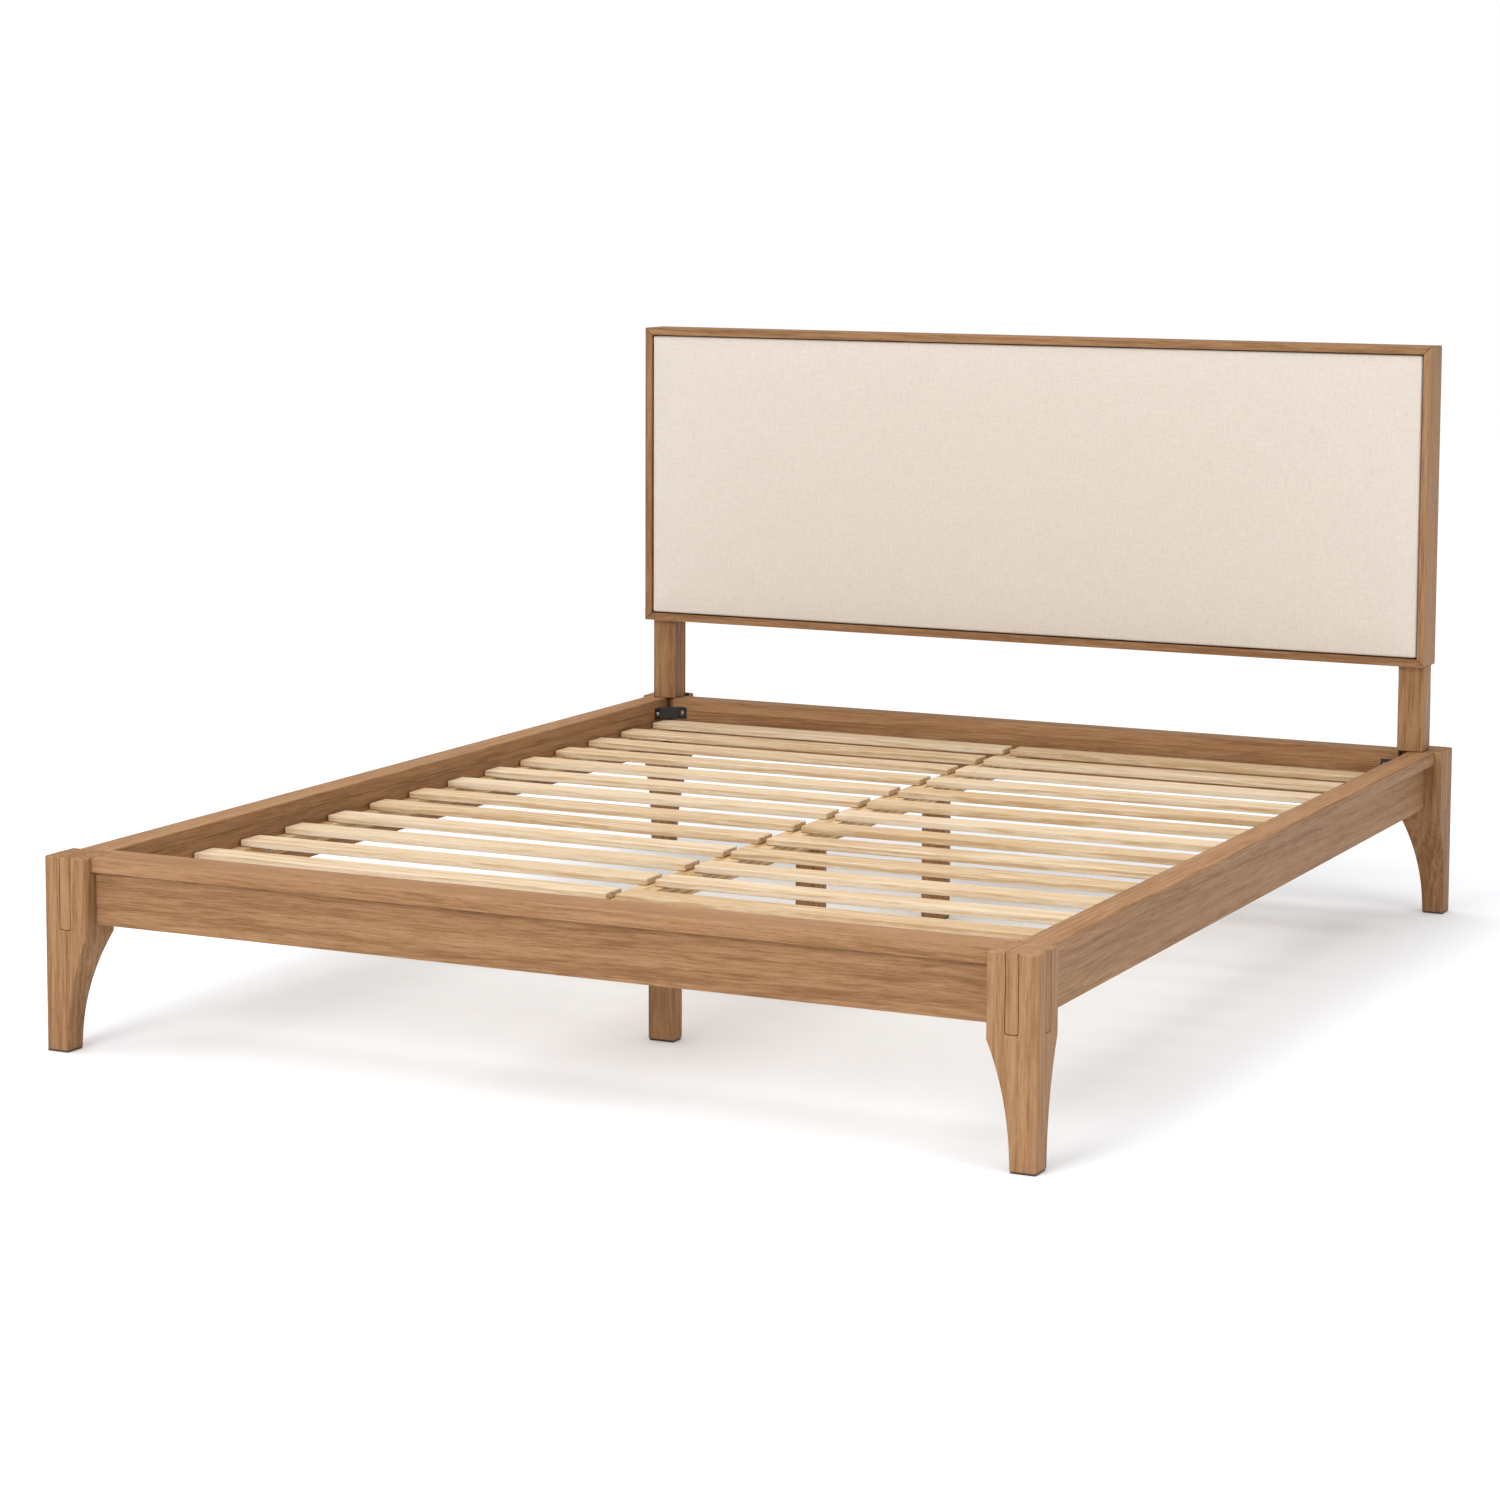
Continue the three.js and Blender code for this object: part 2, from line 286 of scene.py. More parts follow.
@dataclass(frozen=True)
class LinenFinish:
    """Plain-woven linen with slubs, on the coordinates that follow the cloth."""

    name: str = "oatmeal_linen"
    slot: str = "linen"
    bright: Colour = (0.805, 0.74, 0.672)
    pale: Colour = (0.76, 0.682, 0.605)
    deep: Colour = (0.63, 0.545, 0.465)
    thread: float = 0.0011
    roughness: float = 0.92
    slub_scale: tuple[float, float] = (28.0, 620.0)
    mottle_scale: float = 150.0

    def make(self) -> bpy.types.Material:
        """Builds the material."""
        shading = Shading(self.name)
        cloth = shading.attribute("cloth")
        warp, weft = [shading.waves(cloth, self.thread, {"wave_type": "BANDS", "bands_direction": direction},
                                    {"Distortion": 0.8, "Detail": 1.0}) for direction in "XY"]
        weave = shading.maths("MULTIPLY", warp, weft)
        along, across = self.slub_scale
        slubs = shading.maths("ADD", shading.noise(cloth, (along, across, 1.0), 2.0),
                              shading.noise(cloth, (across, along, 1.0), 2.0))
        mottle = shading.noise(cloth, (self.mottle_scale, self.mottle_scale, 1.0), 4.0, 0.65)
        value = shading.weighed((weave, 0.22), (slubs, 0.33), (mottle, 0.42))
        colour = shading.ramp(value, (0.33, self.deep), (0.62, self.pale), (0.9, self.bright))
        shading.fill(shading.surface, {"Base Color": colour, "Roughness": self.roughness, "Sheen Weight": 0.18,
                                       "Sheen Roughness": 0.5, "Specular IOR Level": 0.2})
        shading.bump(shading.maths("ADD", weave, shading.maths("MULTIPLY", slubs, 0.6)), 0.00035, 0.8)
        return shading.material


@dataclass(frozen=True)
class FibreboardFinish:
    """Raw fibreboard, plain and slightly mottled."""

    name: str = "raw_fibreboard"
    slot: str = "panel_board"
    pale: Colour = (0.50, 0.37, 0.235)
    deep: Colour = (0.40, 0.285, 0.17)
    fleck_scale: float = 420.0
    patch_scale: float = 6.0

    def make(self) -> bpy.types.Material:
        """Builds the material."""
        shading = Shading(self.name)
        place = shading.place()
        flecks = shading.noise(place, (self.fleck_scale,) * 3, 3.0, 0.6)
        patches = shading.noise(place, (self.patch_scale,) * 3, 3.0)
        colour = shading.ramp(shading.weighed((flecks, 0.6), (patches, 0.4)), (0.35, self.deep), (0.65, self.pale))
        shading.fill(shading.surface, {"Base Color": colour, "Roughness": 0.82, "Specular IOR Level": 0.25})
        shading.bump(flecks, 0.0001, 0.5)
        return shading.material


@dataclass(frozen=True)
class MetalFinish:
    """Steel, either powder-coated or plated, with a fine texture."""

    name: str
    slot: str
    colour: Colour
    metallic: float
    roughness: float
    gloss_range: float = 0.2
    speckle: float = 1500.0
    wear_scale: float = 60.0
    texture: float = 0.00006

    def make(self) -> bpy.types.Material:
        """Builds the material."""
        shading = Shading(self.name)
        place = shading.place()
        speckle = shading.noise(place, (self.speckle,) * 3, 2.0)
        wear = shading.noise(place, (self.wear_scale,) * 3, 3.0, 0.6)
        dull = tuple(channel * 0.8 for channel in self.colour)
        colour = shading.ramp(wear, (0.35, dull), (0.65, self.colour))
        gloss = shading.maths("MULTIPLY_ADD", wear, self.gloss_range, self.roughness - self.gloss_range / 2)
        shading.fill(shading.surface, {"Base Color": colour, "Roughness": gloss, "Metallic": self.metallic})
        shading.bump(speckle, self.texture, 0.7)
        return shading.material


@dataclass(frozen=True)
class NylonFinish:
    """Dark moulded nylon, for the glides under the feet."""

    name: str = "dark_nylon"
    slot: str = "black_steel"
    colour: Colour = (0.045, 0.032, 0.024)
    grain_scale: float = 900.0

    def make(self) -> bpy.types.Material:
        """Builds the material."""
        shading = Shading(self.name)
        grainy = shading.noise(shading.place(), (self.grain_scale,) * 3, 2.0)
        paler = tuple(channel * 1.5 for channel in self.colour)
        colour = shading.ramp(grainy, (0.35, self.colour), (0.7, paler))
        shading.fill(shading.surface, {"Base Color": colour, "Roughness": 0.6})
        shading.bump(grainy, 0.00005, 0.5)
        return shading.material


@dataclass(frozen=True)
class FloorFinish:
    """A pale seamless studio floor that glows faintly, so that shadows on it stay light."""

    name: str = "pale_floor"
    colour: Colour = (0.85, 0.866, 0.888)
    glow: float = 0.025

    def make(self) -> bpy.types.Material:
        """Builds the material."""
        shading = Shading(self.name)
        shading.fill(shading.surface, {"Base Color": (*self.colour, 1.0), "Roughness": 0.6,
                                       "Specular IOR Level": 0.0, "Emission Color": (1.0, 1.0, 1.0, 1.0),
                                       "Emission Strength": self.glow})
        return shading.material


OAK = WoodFinish("satin_oak", "frame_wood", dark=(0.217, 0.107, 0.045), middle=(0.328, 0.173, 0.081),
                 light=(0.403, 0.230, 0.115))
SLAT_PINE = WoodFinish("slat_pine", "slat_wood", dark=(0.485, 0.315, 0.165), middle=(0.62, 0.462, 0.292),
                       light=(0.69, 0.562, 0.41), ring_spacing=0.009, ring_share=0.25, pore_depth=0.08,
                       tone_range=0.3, roughness=0.58)
LEDGE_PINE = WoodFinish("ledge_pine", "ledge_wood", dark=(0.38, 0.215, 0.09), middle=(0.50, 0.325, 0.165),
                        light=(0.60, 0.44, 0.26), ring_spacing=0.008, ring_share=0.4, pore_depth=0.08,
                        roughness=0.6)
LINEN = LinenFinish()
FIBREBOARD = FibreboardFinish()
BLACK_STEEL = MetalFinish("black_powder_coat", "black_steel", (0.012, 0.012, 0.013), 0.0, 0.45)
ZINC = MetalFinish("zinc_plate", "black_steel", (0.42, 0.42, 0.41), 1.0, 0.36, speckle=400.0)
NYLON = NylonFinish()

Finish = WoodFinish | LinenFinish | FibreboardFinish | MetalFinish | NylonFinish


class Finishes:
    """Builds each finish once and hands out its material."""

    made: dict[str, bpy.types.Material] = {}

    @classmethod
    def material(cls, finish: Finish) -> bpy.types.Material:
        """The material of a finish, built on first use."""
        if finish.name not in cls.made:
            cls.made[finish.name] = finish.make()
        return cls.made[finish.name]


# ---- making pieces -----------------------------------------------------------------


def place_in_scene(mesh: bpy.types.Mesh, name: str) -> Object:
    """Puts a mesh in the scene as an object at the origin."""
    made = bpy.data.objects.new(name, mesh)
    bpy.context.scene.collection.objects.link(made)
    return made


def finish_piece(piece: Object, finish: Finish, nodes: tuple[str, ...] = ()) -> Object:
    """Gives a piece its material and ties it to the frame.

    Args:
        piece: The finished mesh object.
        finish: Its finish.
        nodes: The frame's nodes that it stands for.

    Returns:
        The same piece.
    """
    piece.data.materials.clear()
    piece.data.materials.append(Finishes.material(finish))
    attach(piece, BODY)
    if nodes:
        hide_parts(*nodes)
    LOG.info("%s: %d faces", piece.name, len(piece.data.polygons))
    return piece


def grain_seed(name: str) -> random.Random:
    """A random source that is always the same for a piece of one name."""
    return random.Random(f"grain of {name}")


def mark_grain(mesh: bpy.types.Mesh, grain: Grain, source: random.Random, toned: bool = True) -> None:
    """Stores where each point lies in the log that a piece was cut from.

    Args:
        mesh: The piece's final mesh.
        grain: The axis of its fibres.
        source: Decides the part of the log.
        toned: Whether to store the board's own tone as well.
    """
    along = grain.value
    across, through = [axis for axis in range(3) if axis != along]
    start = source.uniform(0.0, LOG_LENGTH)
    pith = [source.choice((-1, 1)) * source.uniform(*PITH_DISTANCE) for _ in range(2)]
    lean = [source.uniform(-LEAN, LEAN) for _ in range(2)]
    values = []
    for vertex in mesh.vertices:
        x = vertex.co[along]
        values += [x + start, vertex.co[across] + pith[0] + lean[0] * x, vertex.co[through] + pith[1] + lean[1] * x]
    mesh.attributes.new("grain", "FLOAT_VECTOR", "POINT").data.foreach_set("vector", values)
    if toned:
        tone = source.random()
        mesh.attributes.new("tone", "FLOAT", "POINT").data.foreach_set("value", [tone] * len(mesh.vertices))


def outer_corner(node: str, end: End, side: Side) -> Vector:
    """The corner of a node that lies furthest out on the bed, at the height of the floor."""
    low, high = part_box(node)
    return Vector((high.x if side is Side.RIGHT else low.x, high.y if end is End.REAR else low.y, 0.0))


def span_across(node: str) -> tuple[float, float]:
    """The nearest and the furthest distance of a node from the middle of the bed."""
    low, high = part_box(node)
    return tuple(sorted((abs(low.x), abs(high.x))))


def box_mesh(low: Vector, high: Vector) -> Solid:
    """A closed box between two opposite corners."""
    made = bmesh.new()
    bmesh.ops.create_cube(made, size=1.0)
    size = high - low
    bmesh.ops.scale(made, vec=size, verts=made.verts)
    bmesh.ops.translate(made, vec=(low + high) / 2, verts=made.verts)
    return made


def prism_mesh(outline: Outline, axis: int, low: float, high: float) -> Solid:
    """A closed prism.

    Args:
        outline: Its section, on the two axes other than its own, in X, Y, Z order.
        axis: The axis that it runs along.
        low: Where it starts.
        high: Where it ends.

    Returns:
        The prism, with its faces outwards.
    """
    made = bmesh.new()
    plane = [other for other in range(3) if other != axis]
    rings = []
    for place in (low, high):
        ring = []
        for point in outline:
            corner = [place] * 3
            corner[plane[0]], corner[plane[1]] = point
            ring.append(made.verts.new(corner))
        made.faces.new(ring)
        rings.append(ring)
    count = len(outline)
    for i in range(count):
        j = (i + 1) % count
        made.faces.new((rings[0][i], rings[0][j], rings[1][j], rings[1][i]))
    bmesh.ops.recalc_face_normals(made, faces=made.faces)
    return made


def quarter_turn(start: float, steps: int) -> list[float]:
    """The angles of a quarter of a circle, in equal steps."""
    return [start + math.pi / 2 * i / steps for i in range(steps + 1)]


def round_edges(solid: Solid, radius: float, segments: int = 3) -> None:
    """Rounds every sharp edge of a solid and leaves its flat faces flat.

    Args:
        solid: The solid to round.
        radius: The radius in metres.
        segments: Faces round each edge.
    """
    sharp = [edge for edge in solid.edges if edge.calc_face_angle(0.0) > math.radians(25)]
    for face in solid.faces:
        face.smooth = False
    made = bmesh.ops.bevel(solid, geom=sharp, offset=radius, offset_type="OFFSET", segments=segments,
                           profile=0.5, affect="EDGES", clamp_overlap=True)
    for face in made["faces"]:
        face.smooth = True


def round_level(solid: Solid, radius: float, height: float, segments: int = 4) -> None:
    """Rounds the edges of a solid that lie at one height.

    Args:
        solid: The solid to round.
        radius: The radius in metres.
        height: The height of the edges.
        segments: Faces round each edge.
    """
    level = [edge for edge in solid.edges if all(abs(v.co.z - height) < 1e-6 for v in edge.verts)]
    made = bmesh.ops.bevel(solid, geom=level, offset=radius, offset_type="OFFSET", segments=segments,
                           profile=0.5, affect="EDGES", clamp_overlap=True)
    for face in made["faces"]:
        face.smooth = True


def to_object(solid: Solid, name: str) -> Object:
    """Turns a solid into an object of that name."""
    mesh = bpy.data.meshes.new(name)
    solid.to_mesh(mesh)
    solid.free()
    return place_in_scene(mesh, name)


def carved(solid: Solid, *cutters: Solid) -> Solid:
    """Cuts solids out of another and returns what is left, with its flat faces whole.

    Args:
        solid: What is cut; it is used up.
        cutters: What is taken away; they are used up too.

    Returns:
        What is left.
    """
    piece = to_object(solid, "carving")
    for cutter in cutters:
        tool = to_object(cutter, "cutter")
        modifier = piece.modifiers.new("cut", "BOOLEAN")
        modifier.object = tool
        modifier.operation = "DIFFERENCE"
        modifier.solver = "EXACT"
        graph = bpy.context.evaluated_depsgraph_get()
        cut = bpy.data.meshes.new_from_object(piece.evaluated_get(graph))
        piece.modifiers.clear()
        piece.data = cut
        bpy.data.objects.remove(tool)
    left = bmesh.new()
    left.from_mesh(piece.data)
    bpy.data.objects.remove(piece)
    return left


@dataclass
class Timber:
    """One piece of wood, with rounded arrises and its own part of the log."""

    name: str
    grain: Grain
    finish: WoodFinish = OAK
    arris: float = 0.0015
    nodes: tuple[str, ...] = ()
    top_arris: float = 0.0

    def from_solid(self, solid: Solid) -> Object:
        """Rounds, names and finishes a solid.

        Args:
            solid: The sawn piece; it is used up.

        Returns:
            The finished piece.
        """
        if self.top_arris:
            heights = [vertex.co.z for vertex in solid.verts]
            round_level(solid, self.top_arris, max(heights))
            round_level(solid, self.arris, min(heights), 2)
        else:
            round_edges(solid, self.arris)
        piece = to_object(solid, self.name)
        mark_grain(piece.data, self.grain, grain_seed(self.name))
        return finish_piece(piece, self.finish, self.nodes)

    def from_box(self, low: Vector, high: Vector) -> Object:
        """Cuts the piece as a board between two corners."""
        return self.from_solid(box_mesh(low, high))

    def from_outline(self, outline: Outline, axis: int, low: float, high: float) -> Object:
        """Cuts the piece as a prism along an axis."""
        return self.from_solid(prism_mesh(outline, axis, low, high))


def board_for(node: str, kind: str, grain: Grain, finish: WoodFinish = OAK, arris: float = 0.0015,
              top_arris: float = 0.0) -> None:
    """Makes a plain board or batten that stands for a box-shaped node of the frame."""
    Timber(f"{node}_{kind}", grain, finish, arris, (node,), top_arris).from_box(*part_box(node))


# ---- repeating with geometry nodes -------------------------------------------------


@dataclass
class Repeater(NodeGraph):
    """A node tree that sets copies of a piece out along a line or on points.

    Every copy gets its own tone and its own part of the log, from a fixed seed.
    """

    name: str
    layout: Layout
    count: int = 1
    step: Triple = (0.0, 0.0, 0.0)
    start: Triple = (0.0, 0.0, 0.0)
    slip: float = 0.0
    seed: int = 1
    tree: bpy.types.NodeTree = field(init=False)

    def __post_init__(self) -> None:
        """Builds the tree."""
        self.tree = bpy.data.node_groups.new(self.name, "GeometryNodeTree")
        self.tree.is_modifier = True
        sockets = (("Geometry", "Geometry"), ("Piece", "Object"), ("Finish", "Material"), ("Count", "Int"),
                   ("Step", "Vector"), ("Start", "Vector"), ("Slip", "Float"), ("Seed", "Int"))
        for label, kind in sockets:
            self.tree.interface.new_socket(name=label, in_out="INPUT", socket_type=f"NodeSocket{kind}")
        self.tree.interface.new_socket(name="Geometry", in_out="OUTPUT", socket_type="NodeSocketGeometry")
        entry = self.node("NodeGroupInput")
        copies = self._copies(entry.outputs)
        shifted = self._vary(copies, entry.outputs)
        realised = self.node("GeometryNodeRealizeInstances", None, {"Geometry": shifted})
        grain = self.node("ShaderNodeVectorMath", {"operation": "ADD"},
                           {0: self._named("grain"), 1: self._named("shift")})
        placed = self._store(realised.outputs[0], "grain", "FLOAT_VECTOR", "POINT", grain.outputs[0])
        dressed = self.node("GeometryNodeSetMaterial", None,
                             {"Geometry": placed, "Material": entry.outputs["Finish"]})
        self.node("NodeGroupOutput", None, {"Geometry": dressed.outputs[0]})

    def _named(self, name: str) -> Socket:
        """Reads a vector attribute."""
        made = self.node("GeometryNodeInputNamedAttribute", {"data_type": "FLOAT_VECTOR"}, {"Name": name})
        return made.outputs["Attribute"]

    def _store(self, geometry: object, name: str, kind: str, domain: str, value: object) -> Socket:
        """Stores a value as an attribute and returns the geometry.

        Args:
            geometry: What carries the attribute.
            name: Its name.
            kind: Its data type.
            domain: What it is stored on.
            value: The socket it is read from.

        Returns:
            The geometry's socket.
        """
        made = self.node("GeometryNodeStoreNamedAttribute", {"data_type": kind, "domain": domain},
                          {"Geometry": geometry, "Name": name, "Value": value})
        return made.outputs[0]

    def _copies(self, entry: object) -> Socket:
        """Puts an instance of the piece at each place."""
        if self.layout is Layout.LINE:
            line = self.node("GeometryNodeMeshLine", None, {"Count": entry["Count"],
                                                             "Start Location": entry["Start"],
                                                             "Offset": entry["Step"]})
            places = line.outputs[0]
        else:
            places = entry["Geometry"]
        piece = self.node("GeometryNodeObjectInfo", None, {"Object": entry["Piece"]})
        turn = self.node("FunctionNodeEulerToRotation", None, {"Euler": self._named("turn")})
        copies = self.node("GeometryNodeInstanceOnPoints", None,
                            {"Points": places, "Instance": piece.outputs["Geometry"], "Rotation": turn.outputs[0]})
        return copies.outputs[0]

    def _vary(self, copies: Socket, entry: object) -> Socket:
        """Gives each copy its slip, its tone and its part of the log."""
        nudge = self._random("FLOAT_VECTOR", (-1.0, 0.0, 0.0), (1.0, 0.0, 0.0), entry["Seed"])
        scaled = self.node("ShaderNodeVectorMath", {"operation": "SCALE"}, {0: nudge, "Scale": entry["Slip"]})
        moved = self.node("GeometryNodeTranslateInstances", None,
                           {"Instances": copies, "Translation": scaled.outputs[0]})
        shift = self._random("FLOAT_VECTOR", (0.0, -COPY_SPREAD, -COPY_SPREAD),
                             (LOG_LENGTH, COPY_SPREAD, COPY_SPREAD), entry["Seed"])
        shifted = self._store(moved.outputs[0], "shift", "FLOAT_VECTOR", "INSTANCE", shift)
        tone = self._random("FLOAT", 0.0, 1.0, entry["Seed"])
        return self._store(shifted, "tone", "FLOAT", "INSTANCE", tone)

    def _random(self, kind: str, low: object, high: object, seed: object) -> Socket:
        """Adds a random value of a kind between two limits.

        Args:
            kind: The data type.
            low: The least value.
            high: The greatest value.
            seed: The socket of the seed.

        Returns:
            The value's socket.
        """
        made = self.node("FunctionNodeRandomValue", {"data_type": kind})
        shown = [socket for socket in made.inputs if socket.enabled and socket.name in ("Min", "Max")]
        shown[0].default_value = low
        shown[1].default_value = high
        self.tree.links.new(seed, made.inputs["Seed"])
        return next(socket for socket in made.outputs if socket.enabled)

    def lay_out(self, piece: Object, name: str, finish: Finish,
                points: bpy.types.Mesh | None = None) -> Object:
        """Runs the tree and returns its copies as one plain mesh.

        Args:
            piece: What is repeated; it is removed afterwards.
            name: The name of the result.
            finish: The finish of the copies.
            points: A mesh with a turn at each point, for the layout on points.

        Returns:
            The object that holds all the copies.
        """
        host = place_in_scene(points or bpy.data.meshes.new(f"{name}_places"), f"{name}_host")
        modifier = host.modifiers.new("repeat", "NODES")
        modifier.node_group = self.tree
        values = {"Piece": piece, "Finish": Finishes.material(finish), "Count": self.count, "Step": self.step,
                  "Start": self.start, "Slip": self.slip, "Seed": self.seed}
        for item in self.tree.interface.items_tree:
            if item.in_out == "INPUT" and item.name in values:
                modifier[item.identifier] = values[item.name]
        graph = bpy.context.evaluated_depsgraph_get()
        mesh = bpy.data.meshes.new_from_object(host.evaluated_get(graph))
        made = place_in_scene(mesh, name)
        bpy.data.objects.remove(host)
        bpy.data.objects.remove(piece)
        return made


def turned_points(places: list[Seat]) -> bpy.types.Mesh:
    """A mesh of loose points for a repeater.

    Args:
        places: Each copy's seat: its place and its turn about X, Y and Z, in radians.

    Returns:
        The mesh, with the turns stored on its points.
    """
    mesh = bpy.data.meshes.new("places")
    mesh.from_pydata([tuple(place) for place, _ in places], [], [])
    turns = [angle for _, turn in places for angle in turn]
    mesh.attributes.new("turn", "FLOAT_VECTOR", "POINT").data.foreach_set("vector", turns)
    return mesh


FACING: dict[str, Triple] = {
    "+Z": (0.0, 0.0, 0.0),
    "-Z": (math.pi, 0.0, 0.0),
    "+X": (0.0, math.pi / 2, 0.0),
    "-X": (0.0, -math.pi / 2, 0.0),
    "+Y": (-math.pi / 2, 0.0, 0.0),
    "-Y": (math.pi / 2, 0.0, 0.0),
}


@dataclass(frozen=True)
class Fastener:
    """A round-headed screw or bolt with a hexagon recess, standing on its seat along Z."""

    head_radius: float
    head_height: float
    washer_radius: float = 0.0
    washer_height: float = 0.0012
    segments: int = 24

    def shape(self) -> Object:
        """Turns the head's profile on the lathe."""
        recess = self.head_radius * 0.45
        base = self.washer_height if self.washer_radius else 0.0
        top = base + self.head_height
        profile = [(0.0, 0.0), (max(self.washer_radius, self.head_radius), 0.0)]
        if self.washer_radius:
            profile += [(self.washer_radius, base * 0.7), (self.washer_radius * 0.96, base), (self.head_radius, base)]
        profile += [(self.head_radius, base + self.head_height * 0.45)]
        profile += [(self.head_radius * 0.9, base + self.head_height * 0.85), (self.head_radius * 0.68, top)]
        rings = [(radius, height, False) for radius, height in profile]
        rings += [(recess, top, True), (recess, top - self.head_height * 0.6, True),
                  (0.0, top - self.head_height * 0.7, False)]
        return self._lathe(rings)

    def _lathe(self, rings: list[tuple[float, float, bool]]) -> Object:
        """Spins rings of points, round or with six flats, into a closed skin.

        Args:
            rings: Each ring as radius, height and whether it is hexagonal.

        Returns:
            The closed shape.
        """
        solid = bmesh.new()
        loops = []
        for radius, height, hexagonal in rings:
            if radius == 0.0:
                loops.append([solid.verts.new((0.0, 0.0, height))])
                continue
            loop = []
            for i in range(self.segments):
                angle = math.tau * i / self.segments
                offset = (angle % (math.pi / 3)) - math.pi / 6
                reach = radius * (math.cos(math.pi / 6) / math.cos(offset) if hexagonal else 1.0)
                loop.append(solid.verts.new((reach * math.cos(angle), reach * math.sin(angle), height)))
            loops.append(loop)
        for lower, upper in zip(loops, loops[1:]):
            for i in range(self.segments):
                j = (i + 1) % self.segments
                corners = [lower[i % len(lower)], lower[j % len(lower)], upper[j % len(upper)], upper[i % len(upper)]]
                solid.faces.new(list(dict.fromkeys(corners)))
        bmesh.ops.recalc_face_normals(solid, faces=solid.faces)
        for face in solid.faces:
            face.smooth = True
        shape = to_object(solid, "fastener")
        shape.data.set_sharp_from_angle(angle=math.radians(35))
        return shape


def set_fasteners(name: str, fastener: Fastener, places: list[Seat], finish: Finish = ZINC) -> None:
    """Sets a fastener at each place, as one piece.

    Args:
        name: The name of the piece.
        fastener: Its shape.
        places: The seats.
        finish: Its finish.
    """
    repeater = Repeater(f"{name}_set", Layout.POINTS)
    made = repeater.lay_out(fastener.shape(), name, finish, turned_points(places))
    finish_piece(made, finish)


# ---- corner legs -------------------------------------------------------------------


@dataclass
class CornerLegs:
    """Four corner legs, square at the rails and tapering on their inner faces, with tenon ends let in."""

    foot: float = 0.043
    taper_start: float = 0.194
    taper_bend: float = 0.105
    taper_steps: int = 22
    glide: float = 0.003
    foot_chamfer: float = 0.0012
    outer_radius: float = 0.006
    edge_radius: float = 0.003
    tenon_near: float = 0.030
    tenon_far: float = 0.052
    tenon_foot: float = 0.204
    tenon_depth: float = 0.005
    tenon_round: float = 0.0035
    tenon_slack: float = 0.0002
    tenon_drop: float = 0.0004
    tenon_arris: float = 0.0003
    joint_line: float = 0.0012
    groove_depth: float = 0.0015
    crease: float = 32.0

    def build(self) -> None:
        """Makes the legs and the tenon ends."""
        for end, side in CORNERS:
            self._leg(end, side)

    def _leg(self, end: End, side: Side) -> None:
        """Makes one leg with its two tenon ends."""
        node = f"leg_{end.label}_{side.label}"
        low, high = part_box(node)
        corner = outer_corner(node, end, side)
        inward = Vector((-side.value, -end.value, 0.0))
        name = f"{node}_shaped"
        width = high.x - low.x
        solid = carved(self._loft(corner, inward, high.z, width), *self._cutters(corner, inward, high.z, width))
        piece = to_object(solid, name)
        piece.data.set_sharp_from_angle(angle=math.radians(self.crease))
        mark_grain(piece.data, Grain.Z, grain_seed(name))
        finish_piece(piece, OAK, (node,))
        self._tenon_ends(node, corner, inward, high.z)

    def _width(self, height: float, full: float) -> float:
        """The leg's width at a height, from the curve of its taper."""
        if height >= self.taper_start:
            return full
        bend, start = self.taper_bend, self.taper_start
        a = start - 2 * bend
        t = (-bend + math.sqrt(bend * bend + a * height)) / a if abs(a) > 1e-9 else height / (2 * bend)
        return self.foot + (full - self.foot) * t * t

    def _loft(self, corner: Vector, inward: Vector, top: float, full: float) -> Solid:
        """Skins the leg through square sections that share the outer corner.

        Args:
            corner: The leg's outer corner on the floor.
            inward: The directions from it into the leg.
            top: The height of its top.
            full: Its width at the rails.

        Returns:
            The leg before its joints are cut.
        """
        rise = self.taper_start - self.glide
        levels = [(self.glide, self.foot_chamfer), (self.glide + self.foot_chamfer, 0.0)]
        levels += [(self.glide + rise * i / self.taper_steps, 0.0) for i in range(1, self.taper_steps + 1)]
        radius = self.edge_radius
        levels += [(top - radius + radius * math.sin(angle), radius * (1 - math.cos(angle)))
                   for angle in quarter_turn(0.0, 4)]
        solid = bmesh.new()
        rings = []
        for height, inset in levels:
            section = self._section(self._width(height, full), inset)
            places = [corner + Vector((inward.x * u, inward.y * v, height)) for u, v in section]
            rings.append([solid.verts.new(place) for place in places])
        for lower, upper in zip(rings, rings[1:]):
            for i in range(len(lower)):
                j = (i + 1) % len(lower)
                solid.faces.new((lower[i], lower[j], upper[j], upper[i])).smooth = True
        solid.faces.new(rings[0])
        solid.faces.new(rings[-1])
        bmesh.ops.recalc_face_normals(solid, faces=solid.faces)
        return solid

    def _section(self, width: float, inset: float) -> Outline:
        """A square with round corners, measured inwards from the leg's outer corner.

        Args:
            width: The side of the square.
            inset: How far the section shrinks all round.

        Returns:
            The outline, in order round it.
        """
        low, high = inset, width - inset
        corners = [(low, low, self.outer_radius, math.pi), (high, low, self.edge_radius, 1.5 * math.pi),
                   (high, high, self.edge_radius, 0.0), (low, high, self.edge_radius, 0.5 * math.pi)]
        points = []
        for x, y, radius, start in corners:
            radius = max(radius - inset, 0.0005)
            centre_x = x + radius if x == low else x - radius
            centre_y = y + radius if y == low else y - radius
            points += [(centre_x + radius * math.cos(angle), centre_y + radius * math.sin(angle))
                       for angle in quarter_turn(start, 4)]
        return points

    def _span(self, corner: Vector, inward: Vector, near: Triple, far: Triple) -> tuple[Vector, Vector]:
        """A box given by distances inwards from the outer corner, as lowest and highest corners."""
        ends = [Vector((corner.x + inward.x * u, corner.y + inward.y * v, z)) for u, v, z in (near, far)]
        low = Vector(map(min, *ends))
        high = Vector(map(max, *ends))
        return low, high

